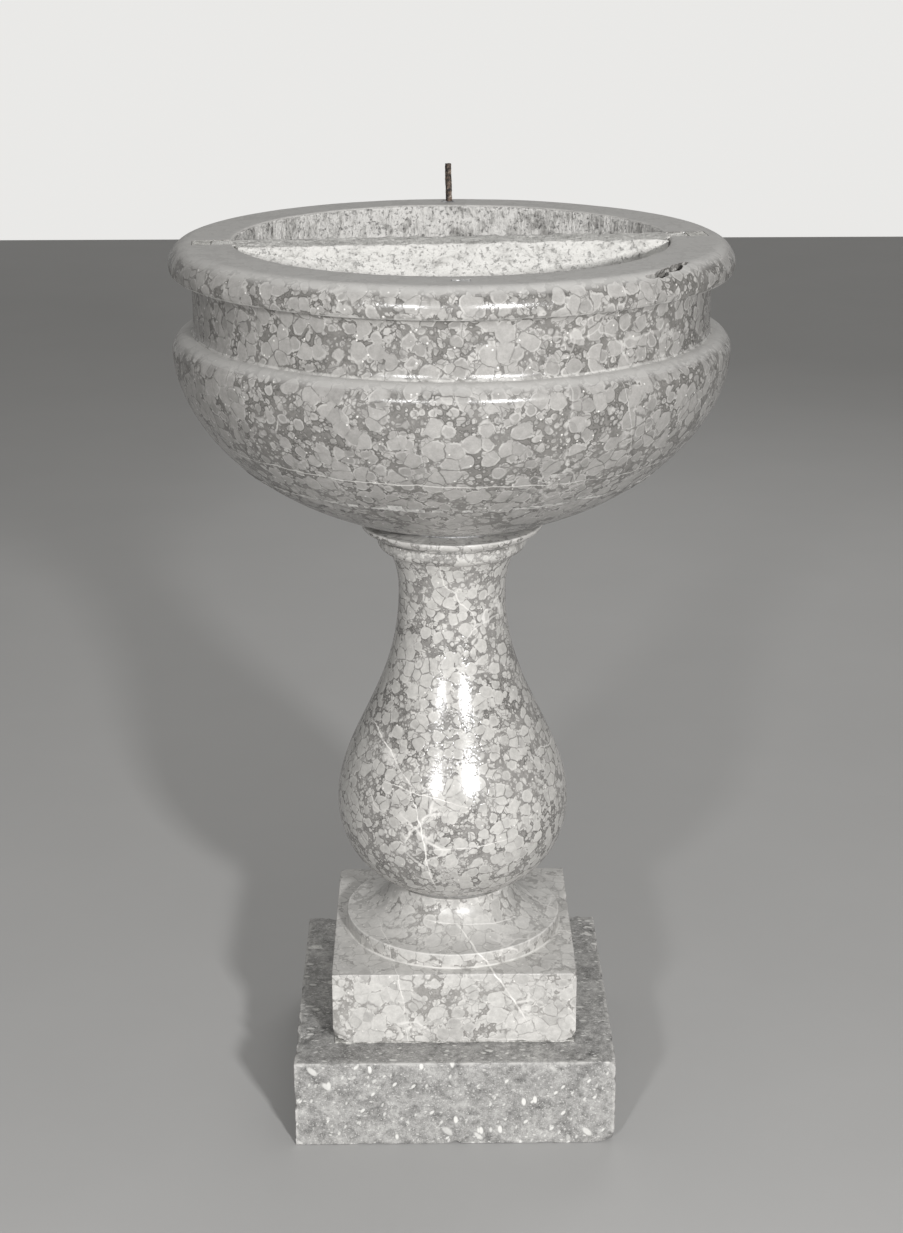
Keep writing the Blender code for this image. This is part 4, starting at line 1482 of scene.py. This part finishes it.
    def is_inside(self, rim: float) -> Callable[[Vector, Vector], bool]:
        """Returns a test for faces of the basin, by centre and normal."""

        def chosen(centre: Vector, normal: Vector) -> bool:
            """Tells whether that face belongs to the basin."""
            radius = math.hypot(centre.x, centre.y)
            floor = centre.z > self.floor_height - 0.004
            return floor and radius < self.basin_radius + 0.0015 and centre.z < rim - 0.0015

        return chosen

    def inside_weight(self, rim: float) -> Callable[[Vector], float]:
        """Returns a weight that is 1 in the basin and fades out at its lip."""

        def weight(place: Vector) -> float:
            """Returns the weight at that place."""
            radius = math.hypot(place.x, place.y)
            inside = radius < self.basin_radius + 0.0045 and place.z > self.floor_height - 0.02
            return min(1.0, max(0.0, (rim - place.z + 0.002) / 0.012)) if inside else 0.0

        return weight


@dataclass
class RimFixings:
    """The iron pivot of the lid in its lead, and the leaded latch socket."""

    pin_turn: float = math.radians(27)
    lean: float = -0.0013

    def build(self) -> None:
        """Builds the three pieces."""
        self.build_pin()
        lead = Workshop.copied("pivot_pin_lead", "pivot_lead", 0.0006)
        Workshop.roughen(lead, uneven(0.005, 0.0009), grainy(0.002, 0.0003))
        Workshop.dress(lead, Lead("pivot_lead_metal", bright=(0.62, 0.62, 0.62)).paint())
        Workshop.place(lead, Body.FONT, ["pivot_pin_lead"], "lead")
        latch = Workshop.copied("latch_socket_lead", "latch_lead", 0.0006)
        Workshop.roughen(latch, uneven(0.006, 0.0010), grainy(0.002, 0.0004))
        low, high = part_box("latch_socket_lead")
        middle = (low + high) / 2
        place = (middle.x - 0.003, middle.y)
        hole = Workshop.rod("latch_hole", place, 0.0026, high.z - 0.012, high.z + 0.01, 20)
        Workshop.cut(latch, hole)
        metal = Lead("latch_lead_metal", bright=(0.70, 0.70, 0.69), dull=(0.30, 0.30, 0.30))
        Workshop.dress(latch, metal.paint())
        Workshop.place(latch, Body.FONT, ["latch_socket_lead"], "lead")

    def build_pin(self) -> None:
        """Builds the forged bar: square, uneven from the hammer, a little bent."""
        low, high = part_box("lid_pivot_pin")
        middle = (low + high) / 2
        side = (high.x - low.x) / (math.cos(self.pin_turn) + math.sin(self.pin_turn))
        half = Vector((side / 2, side / 2, 0))
        foot = Vector((0, 0, low.z))
        top = Vector((0, 0, high.z))
        pin = Workshop.block("pivot_pin", foot - half, top + half)
        Workshop.modify(pin, "REMESH", mode="VOXEL", voxel_size=0.0005)
        coats = (uneven(0.014, 0.0010), grainy(0.003, 0.0005))
        Workshop.roughen(pin, *coats)
        Workshop.moved(pin, (middle.x, middle.y, 0), self.pin_turn)
        Workshop.push(pin, (middle.x, middle.y, high.z), (self.lean, 0, 0), 0.055, "LINEAR")
        Workshop.dress(pin, RustedIron("pin_iron").paint())
        Workshop.place(pin, Body.FONT, ["lid_pivot_pin"], "wrought_iron")


@dataclass
class Drain:
    """The drain in the front basin: ferrule, plug and pull ring."""

    flange: float = 0.004
    bore_top: float = 0.0098
    bore_bottom: float = 0.0082
    bore_depth: float = 0.028
    tube_radius: float = 0.0105
    taper: float = 0.024
    head: float = 0.004
    groove: tuple[Point, ...] = ((0.004, 0.0), (0.0044, 0.0005), (0.0048, 0.0))
    crown: tuple[Point, ...] = ((0.0030, 0.0004), (0.0036, 0.0009), (0.0042, 0.0001))
    eye_radius: float = 0.0055
    eye_thickness: float = 0.004
    eye_hole: float = 0.0024
    wire: float = 0.0016
    droop: float = math.radians(24.5)
    finish: TonedBronze = TonedBronze("drain_bronze")

    def build(self) -> None:
        """Builds the three pieces."""
        metal = self.finish.paint()
        self.build_ferrule(metal)
        self.build_plug(metal)
        self.build_ring(metal)

    def centred(self, piece: Piece, node: str) -> Point:
        """Moves a turned piece over that node's middle, and returns the middle."""
        low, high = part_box(node)
        middle = (low + high) / 2
        Workshop.moved(piece, (middle.x, middle.y, 0))
        return middle.x, middle.y

    def build_ferrule(self, metal: bpy.types.Material) -> None:
        """Builds the flanged tube, with a turned bead round its mouth."""
        low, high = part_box("drain_ferrule")
        radius = (high.x - low.x) / 2
        seat = high.z - self.bore_depth
        edge = arc((radius - 0.0012, high.z - 0.0012), (0.0012, 0.0012), 0, 90, 4)
        groove = [(radius - inset, high.z - deep) for inset, deep in self.groove]
        mouth = arc((self.bore_top + 0.001, high.z - 0.001), (0.001, 0.001), 90, 180, 4)
        shelf = high.z - self.flange
        outline = [(self.tube_radius, low.z), (self.tube_radius, shelf), (radius, shelf)]
        outline += edge + groove + mouth + [(self.bore_bottom, seat), (self.bore_bottom, low.z)]
        outline.append(outline[0])
        ferrule = Workshop.turned("ferrule", outline, 96)
        self.centred(ferrule, "drain_ferrule")
        Workshop.dress(ferrule, metal)
        Workshop.place(ferrule, Body.FONT, ["drain_ferrule"], "bronze")

    def build_plug(self, metal: bpy.types.Material) -> None:
        """Builds the tapered plug with a moulded head and an upright eye."""
        low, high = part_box("drain_plug")
        radius = (high.x - low.x) / 2
        head = low.z + self.taper
        top = head + self.head
        slope = (self.bore_top - self.bore_bottom) / self.bore_depth
        foot_radius = self.bore_top - 0.0006 - slope * self.taper
        lip = arc((radius - 0.0012, top - 0.0018), (0.0012, 0.0012), 0, 90, 4)
        crown = [(radius - inset, top - deep) for inset, deep in self.crown]
        outline = [(0.0, low.z), (foot_radius - 0.0006, low.z), (foot_radius, low.z + 0.0006)]
        outline += [(self.bore_top - 0.0006, head), (radius, head)] + lip + crown
        outline.append((0.0, top + 0.001))
        plug = Workshop.turned("plug", outline, 96)
        x, y = self.centred(plug, "drain_plug")
        eye_height = high.z - self.eye_radius
        eye = self.cross_disc("eye", (x, y, eye_height), self.eye_radius, self.eye_thickness)
        half = Vector((self.eye_thickness / 2, self.eye_radius, 0.0))
        stem_low = Vector((x, y, top - 0.002)) - half
        stem = Workshop.block("eye_stem", stem_low, Vector((x, y, eye_height)) + half)
        Workshop.modify(eye, "BOOLEAN", operation="UNION", object=stem, solver="EXACT")
        bpy.data.objects.remove(stem)
        Workshop.cut(eye, self.cross_disc("hole", (x, y, eye_height), self.eye_hole, 0.02))
        Workshop.modify(eye, "BEVEL", width=0.0005, segments=2, angle_limit=math.radians(50))
        plug = Workshop.joined("plug", plug, eye)
        Workshop.dress(plug, metal)
        Workshop.place(plug, Body.PLUG, ["drain_plug"], "bronze")

    @staticmethod
    def cross_disc(name: str, place: Triple, radius: float, thickness: float) -> Piece:
        """Makes a disc that faces along X."""
        return Workshop.fresh(
            name, bpy.ops.mesh.primitive_cylinder_add, vertices=40, radius=radius, depth=thickness,
            location=place, rotation=(0, math.pi / 2, 0),
        )

    def build_ring(self, metal: bpy.types.Material) -> None:
        """Builds the ring as it lies, drooping from the eye."""
        low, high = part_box("pull_ring")
        radius = (high.x - low.x) / 2 - self.wire
        ring = Workshop.fresh(
            "ring", bpy.ops.mesh.primitive_torus_add, major_radius=radius, minor_radius=self.wire,
            major_segments=96, minor_segments=20, location=(low + high) / 2,
            rotation=(self.droop, 0, 0),
        )
        Workshop.dress(ring, metal)
        Workshop.place(ring, Body.RING, ["pull_ring"], "bronze")


@dataclass
class HiddenWork:
    """What the stones hide: lead beds, dowels and the drain pipe."""

    lead_nodes: tuple[str, ...] = ("foot_bed_lead", "bowl_bed_lead", "drain_pipe")
    joints: tuple[str, ...] = ("step", "foot", "bowl")

    def dress(self) -> None:
        """Gives the frame's own solids their finishes."""
        lead = Lead("bed_lead").paint()
        iron = RustedIron("dowel_iron").paint()
        for node in self.lead_nodes:
            self.coat(node, lead)
        for joint in self.joints:
            for side in ("left", "right"):
                self.coat(f"{joint}_dowel_{side}", iron)

    @staticmethod
    def coat(node: str, finish: bpy.types.Material) -> None:
        """Puts a finish on a node of the frame."""
        solid = bpy.data.objects[node]
        solid.data.materials.clear()
        solid.data.materials.append(finish)
        LOG.info("%s: dressed", node)


@dataclass
class Setting:
    """The camera, the studio lamps and the floor."""

    camera_place: Triple = (-0.0278, -2.6527, 1.5562)
    pitch: float = math.radians(18.93)
    yaw: float = math.radians(0.578)
    roll: float = math.radians(-0.138)
    lens: float = 64.1
    sensor: float = 36.0
    aim_height: float = 0.7
    floor_size: float = 14.0
    sky: tuple[float, ...] = (0.82, 0.815, 0.80, 1.0)
    sky_ranges: tuple[tuple[str, float, float, float, float], ...] = (
        ("Y", 0.0, 0.70, 0.04, 0.38), ("Z", 0.45, 0.95, 0.04, 0.80),
    )
    lamps: tuple[tuple[str, Triple, float, float], ...] = field(default_factory=lambda: (
        ("key", (1.16, -3.42, 1.80), 0.24, 140.0),
        ("fill", (-1.12, -3.42, 1.80), 0.26, 60.0),
        ("back", (0.9, 2.9, 2.6), 1.6, 26.0),
    ))

    def build(self) -> None:
        """Sets up camera, lamps, sky and floor."""
        self.build_camera()
        self.build_lamps()
        self.build_sky()
        self.build_floor()

    def build_camera(self) -> None:
        """Places the camera, looking down at the bowl's near side."""
        camera = bpy.data.cameras.new("camera")
        camera.lens = self.lens
        camera.sensor_width = self.sensor
        holder = bpy.data.objects.new("camera", camera)
        bpy.context.scene.collection.objects.link(holder)
        aim = Euler((math.pi / 2 - self.pitch, 0, -self.yaw), "XYZ").to_matrix()
        twist = Euler((0, 0, self.roll), "XYZ").to_matrix()
        holder.rotation_euler = (aim @ twist).to_euler()
        holder.location = self.camera_place
        bpy.context.scene.camera = holder

    def build_lamps(self) -> None:
        """Places the soft lamps, each aimed at the font's middle."""
        for name, place, size, power in self.lamps:
            lamp = bpy.data.lights.new(name, "AREA")
            lamp.shape = "SQUARE"
            lamp.size = size
            lamp.energy = power
            holder = bpy.data.objects.new(name, lamp)
            bpy.context.scene.collection.objects.link(holder)
            holder.location = place
            aim = Vector((0, 0, self.aim_height)) - Vector(place)
            holder.rotation_euler = aim.to_track_quat("-Z", "Y").to_euler()
            holder.visible_glossy = name != "back"

    def build_sky(self) -> None:
        """Surrounds the font: pale to the eye; as a light, brighter overhead and behind."""
        scene = bpy.context.scene
        scene.view_settings.view_transform = "Standard"
        scene.world = bpy.data.worlds.new("studio")
        scene.world.use_nodes = True
        tree = scene.world.node_tree
        ray = tree.nodes.new("ShaderNodeTexCoord").outputs["Generated"]
        direction = tree.nodes.new("ShaderNodeSeparateXYZ")
        tree.links.new(ray, direction.inputs[0])
        strength = tree.nodes.new("ShaderNodeMath")
        strength.operation = "MAXIMUM"
        for index, (axis, *limits) in enumerate(self.sky_ranges):
            part = tree.nodes.new("ShaderNodeMapRange")
            for name, value in zip(("From Min", "From Max", "To Min", "To Max"), limits):
                part.inputs[name].default_value = value
            tree.links.new(direction.outputs[axis], part.inputs["Value"])
            tree.links.new(part.outputs[0], strength.inputs[index])
        path = tree.nodes.new("ShaderNodeLightPath")
        eye = tree.nodes.new("ShaderNodeMix")
        eye.inputs["B"].default_value = 1.0
        background = tree.nodes["Background"]
        background.inputs["Color"].default_value = self.sky
        tree.links.new(path.outputs["Is Camera Ray"], eye.inputs["Factor"])
        tree.links.new(strength.outputs[0], eye.inputs["A"])
        tree.links.new(eye.outputs[0], background.inputs["Strength"])

    def build_floor(self) -> None:
        """Lays the floor."""
        floor = Workshop.fresh("floor", bpy.ops.mesh.primitive_plane_add, size=self.floor_size)
        floor.data.materials.append(PaleFloor().paint())


def main() -> None:
    """Builds the whole font around the frame."""
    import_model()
    Setting().build()
    Step().build()
    Plinth().build()
    Baluster().build()
    divider = Divider()
    Bowl(divider).build()
    divider.build()
    RimFixings().build()
    Drain().build()
    HiddenWork().dress()


if __name__ == "__main__":
    logging.basicConfig(level=logging.INFO, format="%(name)s: %(message)s")
    main()
